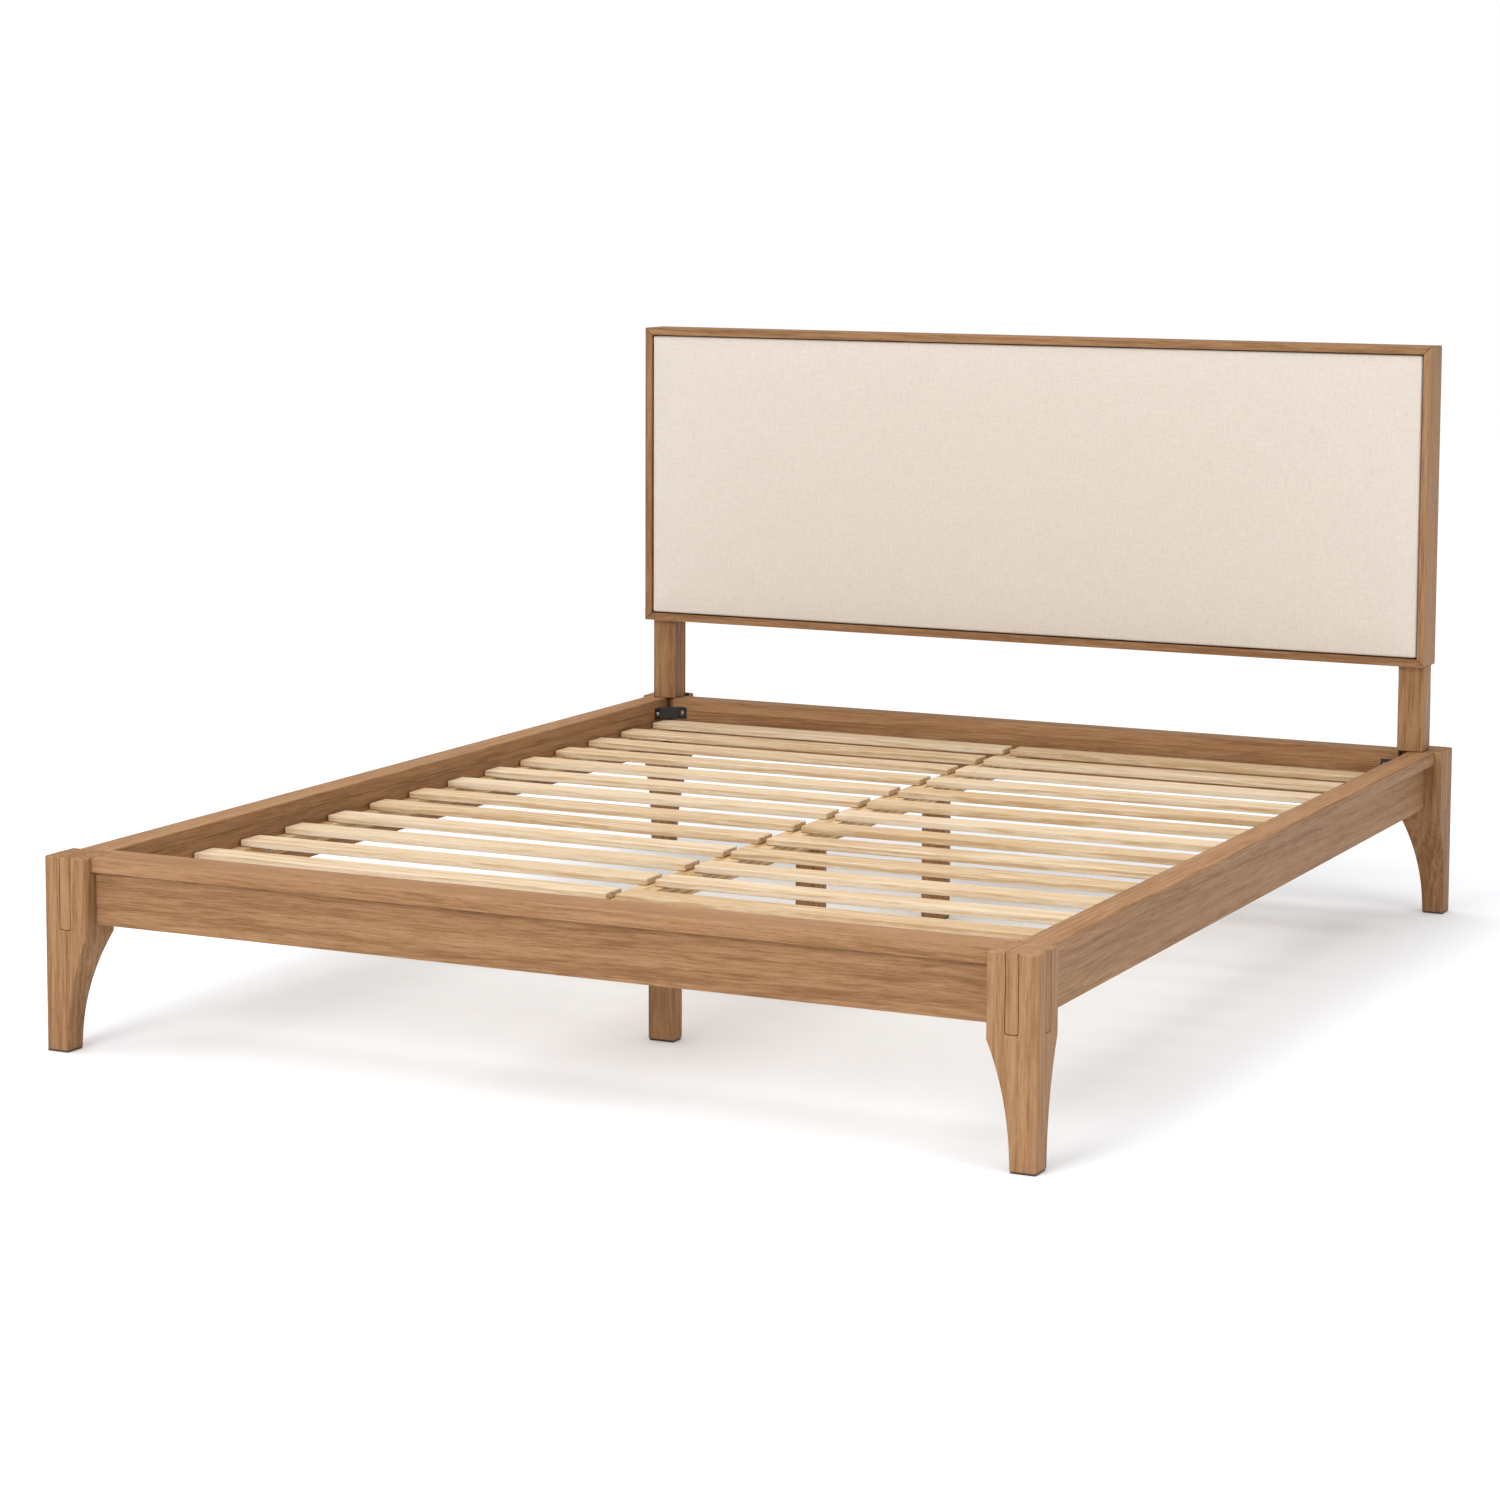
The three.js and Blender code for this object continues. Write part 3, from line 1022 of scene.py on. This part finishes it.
    def _cutters(self, corner: Vector, inward: Vector, top: float, full: float) -> list[Solid]:
        """The mortises in the two outer faces and the joint lines across the top.

        Args:
            corner: The leg's outer corner on the floor.
            inward: The directions from it into the leg.
            top: The height of its top.
            full: Its width at the rails.

        Returns:
            The solids to cut away.
        """
        near, far, depth, beyond = self.tenon_near, self.tenon_far, self.tenon_depth, OVERCUT
        line = self.joint_line
        solids = [self._slot(corner, inward, face, (near, far), (self.tenon_foot, top + beyond), (-beyond, depth))
                  for face in (0, 1)]
        across = ((far - line, -beyond, top - self.groove_depth), (far, full + beyond, top + beyond))
        solids.append(box_mesh(*self._span(corner, inward, *across)))
        return solids

    def _slot(self, corner: Vector, inward: Vector, face: int, across: tuple[float, float],
              heights: tuple[float, float], depth: tuple[float, float]) -> Solid:
        """A block with two round lower corners, standing in one of the leg's outer faces.

        Args:
            corner: The leg's outer corner.
            inward: The directions from it into the leg.
            face: The axis along which the block goes in.
            across: Where it begins and ends across the face.
            heights: Its foot and its head.
            depth: Where it begins and ends going in.

        Returns:
            The block.
        """
        foot, head = heights
        radius = self.tenon_round
        side = 1 - face
        outline = [(across[1], head), (across[0], head)]
        for centre, start in ((across[0] + radius, math.pi), (across[1] - radius, 1.5 * math.pi)):
            outline += [(centre + radius * math.cos(angle), foot + radius + radius * math.sin(angle))
                        for angle in quarter_turn(start, 5)]
        placed = [(corner[side] + inward[side] * u, z) for u, z in outline]
        ends = sorted(corner[face] + inward[face] * d for d in depth)
        return prism_mesh(placed, face, *ends)

    def _tenon_ends(self, node: str, corner: Vector, inward: Vector, top: float) -> None:
        """Lets the ends of the two tenons into the outer faces, flush with them."""
        line = self.joint_line
        across = (self.tenon_near + line, self.tenon_far - line)
        heights = (self.tenon_foot + line, top - self.tenon_drop)
        for label, face in (("side", 0), ("end", 1)):
            block = self._slot(corner, inward, face, across, heights, (0.0, self.tenon_depth - self.tenon_slack))
            Timber(f"{node}_tenon_{label}", Grain.Z, OAK, self.tenon_arris).from_solid(block)


# ---- rails -------------------------------------------------------------------------


@dataclass
class Rails:
    """Caps and aprons round the mattress recess."""

    cap_arris: float = 0.003
    under_arris: float = 0.0004
    apron_arris: float = 0.0005

    def build(self) -> None:
        """Makes the four caps and the four aprons."""
        for side in Side:
            board_for(f"side_cap_{side.label}", "board", Grain.Y, arris=self.under_arris, top_arris=self.cap_arris)
            board_for(f"side_apron_{side.label}", "board", Grain.Y, arris=self.apron_arris)
        board_for("head_cap", "board", Grain.X, arris=self.under_arris, top_arris=self.cap_arris)
        self._foot_cap()
        self._housed_apron("foot_apron", End.FRONT)
        self._housed_apron("head_apron", End.REAR)

    def _foot_cap(self) -> None:
        """Makes the foot cap, notched round the legs."""
        low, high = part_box("foot_cap")
        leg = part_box("leg_front_right")
        waist, shoulder = leg[0].x - CLEARANCE, leg[1].y + CLEARANCE
        outline = [(-waist, low.y), (waist, low.y), (waist, shoulder), (high.x, shoulder),
                   (high.x, high.y), (low.x, high.y), (low.x, shoulder), (-waist, shoulder)]
        timber = Timber("foot_cap_board", Grain.X, OAK, self.under_arris, ("foot_cap",), self.cap_arris)
        timber.from_outline(outline, 2, low.z, high.z)

    def _housed_apron(self, node: str, end: End) -> None:
        """Makes an end's apron, with the housing for the centre beam in its inner face."""
        low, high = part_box(node)
        gap = Vector((CLEARANCE,) * 3)
        near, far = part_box("centre_beam")
        near, far = near - gap, far + gap
        if end is End.FRONT:
            far.y = high.y + OVERCUT
        else:
            near.y = low.y - OVERCUT
        solid = carved(box_mesh(low, high), box_mesh(near, far))
        Timber(f"{node}_board", Grain.X, OAK, self.apron_arris, (node,)).from_solid(solid)


# ---- slat base ---------------------------------------------------------------------


@dataclass
class SlatBase:
    """Two rows of slats on their ledges and centre beam, and the three legs under the beam."""

    slats_per_row: int = 14
    slat_arris: float = 0.0022
    arris: float = 0.002
    slip: float = 0.0012
    glide: float = 0.003
    screw_pitch: float = 0.26
    screw: Fastener = Fastener(0.0042, 0.0022)

    def build(self) -> None:
        """Makes the slats, their supports and the screws in the ledges."""
        for side in Side:
            self._row(side)
            board_for(f"slat_ledge_{side.label}", "batten", Grain.Y, LEDGE_PINE, self.arris)
        board_for("centre_beam", "batten", Grain.Y, LEDGE_PINE, self.arris)
        for node in CENTRE_LEGS:
            low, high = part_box(node)
            low.z += self.glide
            Timber(f"{node}_post", Grain.Z, OAK, self.arris, (node,)).from_box(low, high)
        self._ledge_screws()

    def _row(self, side: Side) -> None:
        """Lays out one row of slats."""
        nodes = tuple(f"slat_{side.label}_{i:02d}" for i in range(1, self.slats_per_row + 1))
        low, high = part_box(nodes[0])
        middle = (low + high) / 2
        step = (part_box(nodes[1])[0] - low).y
        half = (high - low) / 2
        solid = box_mesh(-half, half)
        round_edges(solid, self.slat_arris)
        slat = to_object(solid, "slat")
        mark_grain(slat.data, Grain.X, grain_seed(f"slats {side.label}"), toned=False)
        repeater = Repeater(f"slat_row_{side.label}_set", Layout.LINE, self.slats_per_row, (0.0, step, 0.0),
                            tuple(middle), self.slip, seed=11 + side.value)
        row = repeater.lay_out(slat, f"slat_row_{side.label}", SLAT_PINE)
        finish_piece(row, SLAT_PINE, nodes)

    def _ledge_screws(self) -> None:
        """Screws the ledges to the side aprons."""
        places = []
        for side in Side:
            low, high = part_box(f"slat_ledge_{side.label}")
            face = low.x if side is Side.RIGHT else high.x
            count = int((high.y - low.y) / self.screw_pitch)
            facing = FACING["-X" if side is Side.RIGHT else "+X"]
            for i in range(count):
                y = low.y + (high.y - low.y) * (i + 0.5) / count
                places.append((Vector((face, y, (low.z + high.z) / 2)), facing))
        set_fasteners("ledge_screws", self.screw, places)


# ---- headboard ---------------------------------------------------------------------


@dataclass
class Headboard:
    """The mitred frame, its posts, the backing panel and the linen pad."""

    arris: float = 0.0015
    post_arris: float = 0.002
    panel_arris: float = 0.0008
    bolt_offset: float = 0.004
    bolt_shares: tuple[float, ...] = (0.36, 0.6, 0.84)
    bolt: Fastener = Fastener(0.007, 0.0032)

    def build(self) -> None:
        """Makes the posts, the frame, the panel and the pad."""
        for side in Side:
            self._post(side)
            self._stile(side)
        self._top_rail()
        self._bottom_rail()
        solid = box_mesh(*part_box("headboard_panel"))
        round_edges(solid, self.panel_arris, 2)
        finish_piece(to_object(solid, "headboard_panel_sheet"), FIBREBOARD, ("headboard_panel",))
        LinenPad().build()
        self._panel_screws()

    def _inner(self) -> float:
        """The half-width inside the frame."""
        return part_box("headboard_stile_right")[0].x

    def _post(self, side: Side) -> None:
        """Makes a post, notched past the stile where it runs up inside the headboard."""
        node = f"headboard_post_{side.label}"
        low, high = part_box(node)
        inner = self._inner() - CLEARANCE
        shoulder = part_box("headboard_rail_bottom")[0].z - CLEARANCE
        near, far = span_across(node)
        outline = [(near, low.z), (far, low.z), (far, shoulder), (inner, shoulder), (inner, high.z), (near, high.z)]
        solid = prism_mesh([(x * side.value, z) for x, z in outline], 1, low.y, high.y)
        shoulder_cut = box_mesh(Vector((low.x - OVERCUT, low.y - OVERCUT, shoulder)),
                                Vector((high.x + OVERCUT, self._tongue_front(), high.z + OVERCUT)))
        timber = Timber(f"{node}_timber", Grain.Z, OAK, self.post_arris, (node,))
        timber.from_solid(carved(solid, shoulder_cut))

    def _tongue_front(self) -> float:
        """The front of the posts' tongues, just behind the panel."""
        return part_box("headboard_panel")[1].y + CLEARANCE

    def _stile(self, side: Side) -> None:
        """Makes an upright of the frame, with a mitre at each end."""
        node = f"headboard_stile_{side.label}"
        low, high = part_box(node)
        near, far = (distance * side.value for distance in span_across(node))
        thick = abs(far - near)
        outline = [(far, low.z), (far, high.z), (near, high.z - thick), (near, low.z + thick)]
        Timber(f"{node}_timber", Grain.Z, OAK, self.arris, (node,)).from_outline(outline, 1, low.y, high.y)

    def _top_rail(self) -> None:
        """Makes the frame's top rail."""
        low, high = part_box("headboard_rail_top")
        thick = high.z - low.z
        outline = [(low.x, high.z), (high.x, high.z), (high.x - thick, low.z), (low.x + thick, low.z)]
        timber = Timber("headboard_rail_top_timber", Grain.X, OAK, self.arris, ("headboard_rail_top",))
        timber.from_outline(outline, 1, low.y, high.y)

    def _bottom_rail(self) -> None:
        """Makes the frame's bottom rail in plan, notched round the posts."""
        low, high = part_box("headboard_rail_bottom")
        thick = high.z - low.z
        outline = [(low.x, low.z), (high.x, low.z), (high.x - thick, high.z), (low.x + thick, high.z)]
        solid = prism_mesh(outline, 1, low.y, high.y)
        near, front = span_across("headboard_post_right")[0] - CLEARANCE, self._tongue_front() - CLEARANCE
        notches = []
        for side in Side:
            start, stop = sorted((near * side.value, self._inner() * side.value))
            notches.append(box_mesh(Vector((start, front, low.z - OVERCUT)),
                                    Vector((stop, high.y + OVERCUT, high.z + OVERCUT))))
        timber = Timber("headboard_rail_bottom_timber", Grain.X, OAK, self.arris, ("headboard_rail_bottom",))
        timber.from_solid(carved(solid, *notches))

    def _panel_screws(self) -> None:
        """Screws the posts to the panel from behind."""
        places = []
        for side in Side:
            low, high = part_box(f"headboard_post_{side.label}")
            x = (low.x + high.x) / 2 - side.value * self.bolt_offset
            places += [(Vector((x, high.y, low.z + (high.z - low.z) * share)), FACING["+Y"])
                       for share in self.bolt_shares]
        set_fasteners("post_bolts", self.bolt, places, BLACK_STEEL)


@dataclass
class LinenPad:
    """A thin upholstered pad: a crowned shell swollen by cloth simulation, in plain linen."""

    side_growth: float = 0.0002
    face_inset: float = 0.0004
    edge_radius: float = 0.0036
    corner_radius: float = 0.0048
    crown: float = 0.0028
    crown_reach: float = 0.03
    edge_steps: tuple[float, ...] = (0.0, 0.0005, 0.0012, 0.0022, 0.0036, 0.0056, 0.0085, 0.0125, 0.018, 0.026)
    cell: float = 0.011
    pressure: float = 4.0
    stretch_stiffness: float = 30.0
    bending_stiffness: float = 2.0
    pinned_depth: float = 0.0005
    frames: int = 20
    limit: float = 0.0011

    def build(self) -> None:
        """Makes the pad."""
        low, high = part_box("headboard_pad")
        shell = self._shell(low, high)
        self._swell(shell, high.y)
        self._subdivide(shell)
        self._mark_cloth(shell.data, low.y)
        finish_piece(shell, LINEN, ("headboard_pad",))

    def _stations(self, half: float) -> list[float]:
        """Places of the grid's lines from one edge to the other, closer near the edges."""
        near = self.edge_steps
        rest = half - near[-1]
        count = max(2, round(2 * rest / self.cell))
        middle = [-rest + 2 * rest * i / count for i in range(count + 1)]
        return [-half + step for step in near[:-1]] + middle + [half - step for step in reversed(near[:-1])]

    def _shell(self, low: Vector, high: Vector) -> Object:
        """Builds the pad before it swells, as a closed grid."""
        half_x = (high.x - low.x) / 2 + self.side_growth
        half_z = (high.z - low.z) / 2 + self.side_growth
        middle_z = (high.z + low.z) / 2
        front, back = low.y + self.face_inset, high.y
        columns, rows = self._stations(half_x), self._stations(half_z)
        solid = bmesh.new()
        faces = []
        for is_front in (True, False):
            layer = []
            for z in rows:
                line = []
                for x in columns:
                    px, pz, inside = self._rounded(x, z, half_x, half_z)
                    y = self._height(inside, front) if is_front else back
                    line.append(solid.verts.new((px, y, middle_z + pz)))
                layer.append(line)
            for lower, upper in zip(layer, layer[1:]):
                for i in range(len(lower) - 1):
                    solid.faces.new((lower[i], lower[i + 1], upper[i + 1], upper[i]))
            faces.append(layer)
        self._join_borders(solid, *[self._border(layer) for layer in faces])
        bmesh.ops.recalc_face_normals(solid, faces=solid.faces)
        for face in solid.faces:
            face.smooth = True
        return to_object(solid, "headboard_pad_linen")

    def _rounded(self, x: float, z: float, half_x: float, half_z: float) -> tuple[float, float, float]:
        """Pulls a grid point into the round corners and says how far inside the edge it lies.

        Args:
            x: The point's place across the pad, from its middle.
            z: The point's height, from its middle.
            half_x: Half of the pad's width.
            half_z: Half of the pad's height.

        Returns:
            The new place and height, and the distance inside the edge.
        """
        radius = self.corner_radius
        a = (abs(x) - half_x + radius) / radius
        b = (abs(z) - half_z + radius) / radius
        if a <= 0.0 or b <= 0.0:
            return x, z, min(half_x - abs(x), half_z - abs(z))
        u, v = a * math.sqrt(1 - b * b / 2), b * math.sqrt(1 - a * a / 2)
        px = math.copysign(half_x - radius + radius * u, x)
        pz = math.copysign(half_z - radius + radius * v, z)
        return px, pz, max(0.0, radius - radius * math.hypot(u, v))

    def _height(self, inside: float, front: float) -> float:
        """The shell's face at a distance inside the edge: a round edge and then a slight crown."""
        radius = self.edge_radius
        short = max(radius - inside, 0.0)
        edge = radius - math.sqrt(max(radius * radius - short * short, 0.0))
        return front + edge + self.crown * math.exp(-inside / self.crown_reach)

    def _border(self, layer: list[list[bmesh.types.BMVert]]) -> list[bmesh.types.BMVert]:
        """The grid's outermost points, in order round it."""
        right = [line[-1] for line in layer[1:-1]]
        left = [line[0] for line in layer[1:-1]]
        return layer[0] + right + list(reversed(layer[-1])) + list(reversed(left))

    def _join_borders(self, solid: Solid, front: list, back: list) -> None:
        """Closes the sides between the two grids, in three steps.

        Args:
            solid: The mesh that holds both grids.
            front: The points round the front grid.
            back: The points round the back grid, in the same order.
        """
        steps = 3
        rings = [front]
        for step in range(1, steps):
            share = step / steps
            rings.append([solid.verts.new(a.co.lerp(b.co, share)) for a, b in zip(front, back)])
        rings.append(back)
        for outer, inner in zip(rings, rings[1:]):
            for i in range(len(outer)):
                j = (i + 1) % len(outer)
                solid.faces.new((outer[i], outer[j], inner[j], inner[i]))

    def _swell(self, shell: Object, back: float) -> None:
        """Runs the cloth simulation and keeps its result, within the limit.

        Args:
            shell: The pad before it swells.
            back: The place of the pad's back, which stays where it is.
        """
        pins = shell.vertex_groups.new(name="pins")
        pins.add([v.index for v in shell.data.vertices if v.co.y > back - self.pinned_depth], 1.0, "REPLACE")
        modifier = shell.modifiers.new("swell", "CLOTH")
        settings = modifier.settings
        settings.use_pressure = True
        settings.uniform_pressure_force = self.pressure
        settings.effector_weights.gravity = 0.0
        settings.vertex_group_mass = "pins"
        settings.tension_stiffness = settings.compression_stiffness = self.stretch_stiffness
        settings.bending_stiffness = self.bending_stiffness
        scene = bpy.context.scene
        for step in range(1, self.frames + 1):
            scene.frame_set(step)
        graph = bpy.context.evaluated_depsgraph_get()
        swollen = shell.evaluated_get(graph).data
        for vertex, moved in zip(shell.data.vertices, swollen.vertices):
            offset = moved.co - vertex.co
            if offset.length > self.limit:
                offset *= self.limit / offset.length
            vertex.co += offset
        shell.modifiers.clear()
        shell.vertex_groups.clear()
        scene.frame_set(1)

    def _subdivide(self, shell: Object) -> None:
        """Smooths the shell once and keeps the result."""
        modifier = shell.modifiers.new("smooth", "SUBSURF")
        modifier.levels = modifier.render_levels = 1
        graph = bpy.context.evaluated_depsgraph_get()
        finer = bpy.data.meshes.new_from_object(shell.evaluated_get(graph))
        shell.modifiers.clear()
        shell.data = finer

    def _mark_cloth(self, mesh: bpy.types.Mesh, front: float) -> None:
        """Stores flat coordinates on the cloth, which run on round the pad's edges."""
        values = []
        for vertex in mesh.vertices:
            depth = vertex.co.y - front
            values += [vertex.co.x + vertex.normal.x * depth, vertex.co.z + vertex.normal.z * depth, 0.0]
        mesh.attributes.new("cloth", "FLOAT_VECTOR", "POINT").data.foreach_set("vector", values)


# ---- steelwork and glides ----------------------------------------------------------


@dataclass
class Steelwork:
    """Corner brackets inside the rails and straps behind the posts, with their fasteners."""

    thickness: float = 0.003
    flange: float = 0.018
    arris: float = 0.0006
    bolt_share: float = 0.55
    tongue_inset: float = 0.014
    shoulder_rise: float = 0.006
    step_rise: float = 0.002
    screw_margin: float = 0.018
    rail_screw_drop: float = 0.04
    post_screw_rise: float = 0.05
    bolt: Fastener = Fastener(0.0040, 0.0028, 0.0054)
    screw: Fastener = Fastener(0.0052, 0.0026)

    def build(self) -> None:
        """Makes the brackets, the straps and their fasteners."""
        bolts = [seat for end, side in CORNERS for seat in self._bracket(end, side)]
        set_fasteners("bracket_bolts", self.bolt, bolts)
        screws = [seat for side in Side for seat in self._strap(side)]
        set_fasteners("strap_screws", self.screw, screws, BLACK_STEEL)

    def _plate(self, node: str, outline: Outline, axis: int, low: float, high: float) -> None:
        """Cuts a steel plate as a prism that stands for a node.

        Args:
            node: The node that the plate stands for.
            outline: Its section, on the two axes other than its own.
            axis: The axis that it runs along.
            low: Where it starts.
            high: Where it ends.
        """
        solid = prism_mesh(outline, axis, low, high)
        round_edges(solid, self.arris, 2)
        finish_piece(to_object(solid, f"{node}_plate"), BLACK_STEEL, (node,))

    def _bracket(self, end: End, side: Side) -> list[Seat]:
        """Makes one bent bracket and returns the seats of its two bolts."""
        node = f"corner_bracket_{end.label}_{side.label}"
        low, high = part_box(node)
        sx, sy, t = side.value, end.value, self.thickness
        wall, rail, _ = outer_corner(node, end, side)
        reach = (high.x - low.x) - self.flange
        turns = [(0.0, reach), (0.0, reach + self.flange), (t, reach + self.flange), (t, reach + t / 2),
                 (reach + t / 2, t), (reach + self.flange, t), (reach + self.flange, 0.0), (reach, 0.0)]
        self._plate(node, [(wall - sx * u, rail - sy * v) for u, v in turns], 2, low.z, high.z)
        middle, along = (low.z + high.z) / 2, reach + self.flange * self.bolt_share
        on_side = Vector((wall - sx * t, rail - sy * along, middle))
        on_end = Vector((wall - sx * along, rail - sy * t, middle))
        return [(on_side, FACING["-X" if side is Side.RIGHT else "+X"]),
                (on_end, FACING["-Y" if end is End.REAR else "+Y"])]

    def _strap(self, side: Side) -> list[Seat]:
        """Makes one strap and returns the seats of its screws."""
        node = f"headboard_strap_{side.label}"
        low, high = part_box(node)
        near, far = span_across(node)
        leg = span_across("leg_rear_right")[0] - CLEARANCE
        rail_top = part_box("head_cap")[1].z
        tongue = span_across("headboard_post_right")[0] + self.tongue_inset
        step, shoulder = rail_top + self.step_rise, rail_top + self.shoulder_rise
        outline = [(near, low.z), (leg, low.z), (leg, step), (far, step), (far, high.z), (tongue, high.z),
                   (tongue, shoulder), (near, shoulder)]
        self._plate(node, [(x * side.value, z) for x, z in outline], 1, low.y, high.y)
        middle, wide = (near + leg) / 2, (tongue + far) / 2
        heights = [(middle, low.z + self.screw_margin), (middle, rail_top - self.rail_screw_drop),
                   (wide, rail_top + self.post_screw_rise), (wide, high.z - self.screw_margin)]
        return [(Vector((x * side.value, high.y, z)), FACING["+Y"]) for x, z in heights]


@dataclass
class Glides:
    """Thin nylon glides under the seven feet."""

    thickness: float = 0.0032
    inset: float = 0.0015
    arris: float = 0.0008

    def build(self) -> None:
        """Makes the glides of the corner legs and of the centre legs."""
        foot = CornerLegs().foot
        corners = [outer_corner(f"leg_{end.label}_{side.label}", end, side)
                   - Vector((side.value * foot / 2, end.value * foot / 2, 0.0)) for end, side in CORNERS]
        self._set("corner_glides", (foot, foot), corners)
        boxes = [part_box(node) for node in CENTRE_LEGS]
        low, high = boxes[-1]
        self._set("centre_glides", (high.x - low.x, high.y - low.y), [(low + high) / 2 for low, high in boxes])

    def _set(self, name: str, size: tuple[float, float], centres: list[Vector]) -> None:
        """Sets a glide of one size under each foot."""
        half = Vector((size[0] / 2 - self.inset, size[1] / 2 - self.inset, self.thickness / 2))
        solid = box_mesh(-half, half)
        round_edges(solid, self.arris, 2)
        seats = [(Vector((centre.x, centre.y, half.z)), FACING["+Z"]) for centre in centres]
        repeater = Repeater(f"{name}_set", Layout.POINTS)
        made = repeater.lay_out(to_object(solid, "glide"), name, NYLON, turned_points(seats))
        finish_piece(made, NYLON)


# ---- studio ------------------------------------------------------------------------


def hang_light(data: bpy.types.Light, place: Triple, direction: Vector) -> None:
    """Hangs a light at a place, shining in a direction.

    Args:
        data: The light.
        place: Where it hangs.
        direction: Where it shines.
    """
    lamp = bpy.data.objects.new(data.name, data)
    lamp.location = place
    lamp.rotation_mode = "QUATERNION"
    lamp.rotation_quaternion = direction.to_track_quat("-Z", "Y")
    bpy.context.scene.collection.objects.link(lamp)


@dataclass(frozen=True)
class Softbox:
    """A square area light that faces a point."""

    name: str
    place: Triple
    aim: Triple
    size: float
    power: float

    def build(self) -> None:
        """Hangs the light."""
        data = bpy.data.lights.new(self.name, "AREA")
        data.shape = "SQUARE"
        data.size = self.size
        data.energy = self.power
        hang_light(data, self.place, Vector(self.aim) - Vector(self.place))


@dataclass
class Studio:
    """The camera, a pale floor and soft light from above and in front."""

    stand: Triple = (2.820, -6.083, 1.450)
    heading: float = 25.83
    tilt: float = 6.10
    roll: float = 0.23
    lens: float = 90.66
    sensor: float = 36.0
    rise: float = -0.12
    view_range: float = 2000.0
    floor_size: float = 900.0
    key: float = 2.78
    key_angle: float = 78.0
    key_direction: Triple = (0.10, 0.03, -1.0)
    sky: float = 0.27
    softboxes: tuple[Softbox, ...] = (
        Softbox("overhead_softbox", (0.3, -0.4, 4.2), (0.0, 0.4, 0.3), 3.5, 16.0),
        Softbox("front_softbox", (-0.8, -6.6, 3.3), (0.0, 0.4, 0.6), 2.6, 214.0),
        Softbox("right_softbox", (6.0, -2.2, 2.0), (0.9, -0.2, 0.3), 2.4, 64.0),
    )

    def build(self) -> None:
        """Sets up the studio."""
        self._camera()
        self._floor()
        self._sky()
        self._sun()
        for softbox in self.softboxes:
            softbox.build()

    def _sun(self) -> None:
        """Adds one broad soft key that also lights the floor out to the horizon."""
        data = bpy.data.lights.new("soft_key", "SUN")
        data.energy = self.key
        data.angle = math.radians(self.key_angle)
        hang_light(data, (0.0, 0.0, 0.0), Vector(self.key_direction))

    def _camera(self) -> None:
        """Puts the camera in front of the bed's right corner."""
        data = bpy.data.cameras.new("camera")
        data.lens = self.lens
        data.sensor_width = self.sensor
        data.shift_y = self.rise
        data.clip_end = self.view_range
        camera = bpy.data.objects.new("camera", data)
        turn = (Matrix.Rotation(math.radians(self.heading), 4, "Z")
                @ Matrix.Rotation(math.radians(90.0 - self.tilt), 4, "X")
                @ Matrix.Rotation(math.radians(self.roll), 4, "Z"))
        camera.matrix_world = Matrix.Translation(self.stand) @ turn
        bpy.context.scene.collection.objects.link(camera)
        bpy.context.scene.camera = camera

    def _floor(self) -> None:
        """Lays the floor."""
        half = self.floor_size / 2
        mesh = bpy.data.meshes.new("floor")
        mesh.from_pydata([(-half, -half, 0.0), (half, -half, 0.0), (half, half, 0.0), (-half, half, 0.0)], [],
                         [(0, 1, 2, 3)])
        floor = place_in_scene(mesh, "studio_floor")
        mesh.materials.append(FloorFinish().make())

    def _sky(self) -> None:
        """Surrounds the studio with even white light."""
        world = bpy.data.worlds.new("studio")
        world.use_nodes = True
        graph = NodeGraph()
        graph.tree = world.node_tree
        graph.tree.nodes.clear()
        lights = [graph.node("ShaderNodeBackground", None, {"Strength": strength, "Color": (1.0, 1.0, 1.0, 1.0)})
                  for strength in (self.sky, 1.0)]
        path = graph.node("ShaderNodeLightPath")
        mix = graph.node("ShaderNodeMixShader", None, {0: path.outputs["Is Camera Ray"], 1: lights[0].outputs[0],
                                                       2: lights[1].outputs[0]})
        graph.node("ShaderNodeOutputWorld", None, {"Surface": mix.outputs[0]})
        scene = bpy.context.scene
        scene.world = world
        scene.view_settings.view_transform = "Standard"


def main() -> None:
    """Builds the bed, sub-assembly by sub-assembly, and the studio round it."""
    logging.basicConfig(level=logging.INFO, format="%(name)s: %(message)s")
    for part in (Studio(), CornerLegs(), Rails(), SlatBase(), Headboard(), Steelwork(), Glides()):
        LOG.info("building %s", type(part).__name__)
        part.build()


if __name__ == "__main__":
    main()
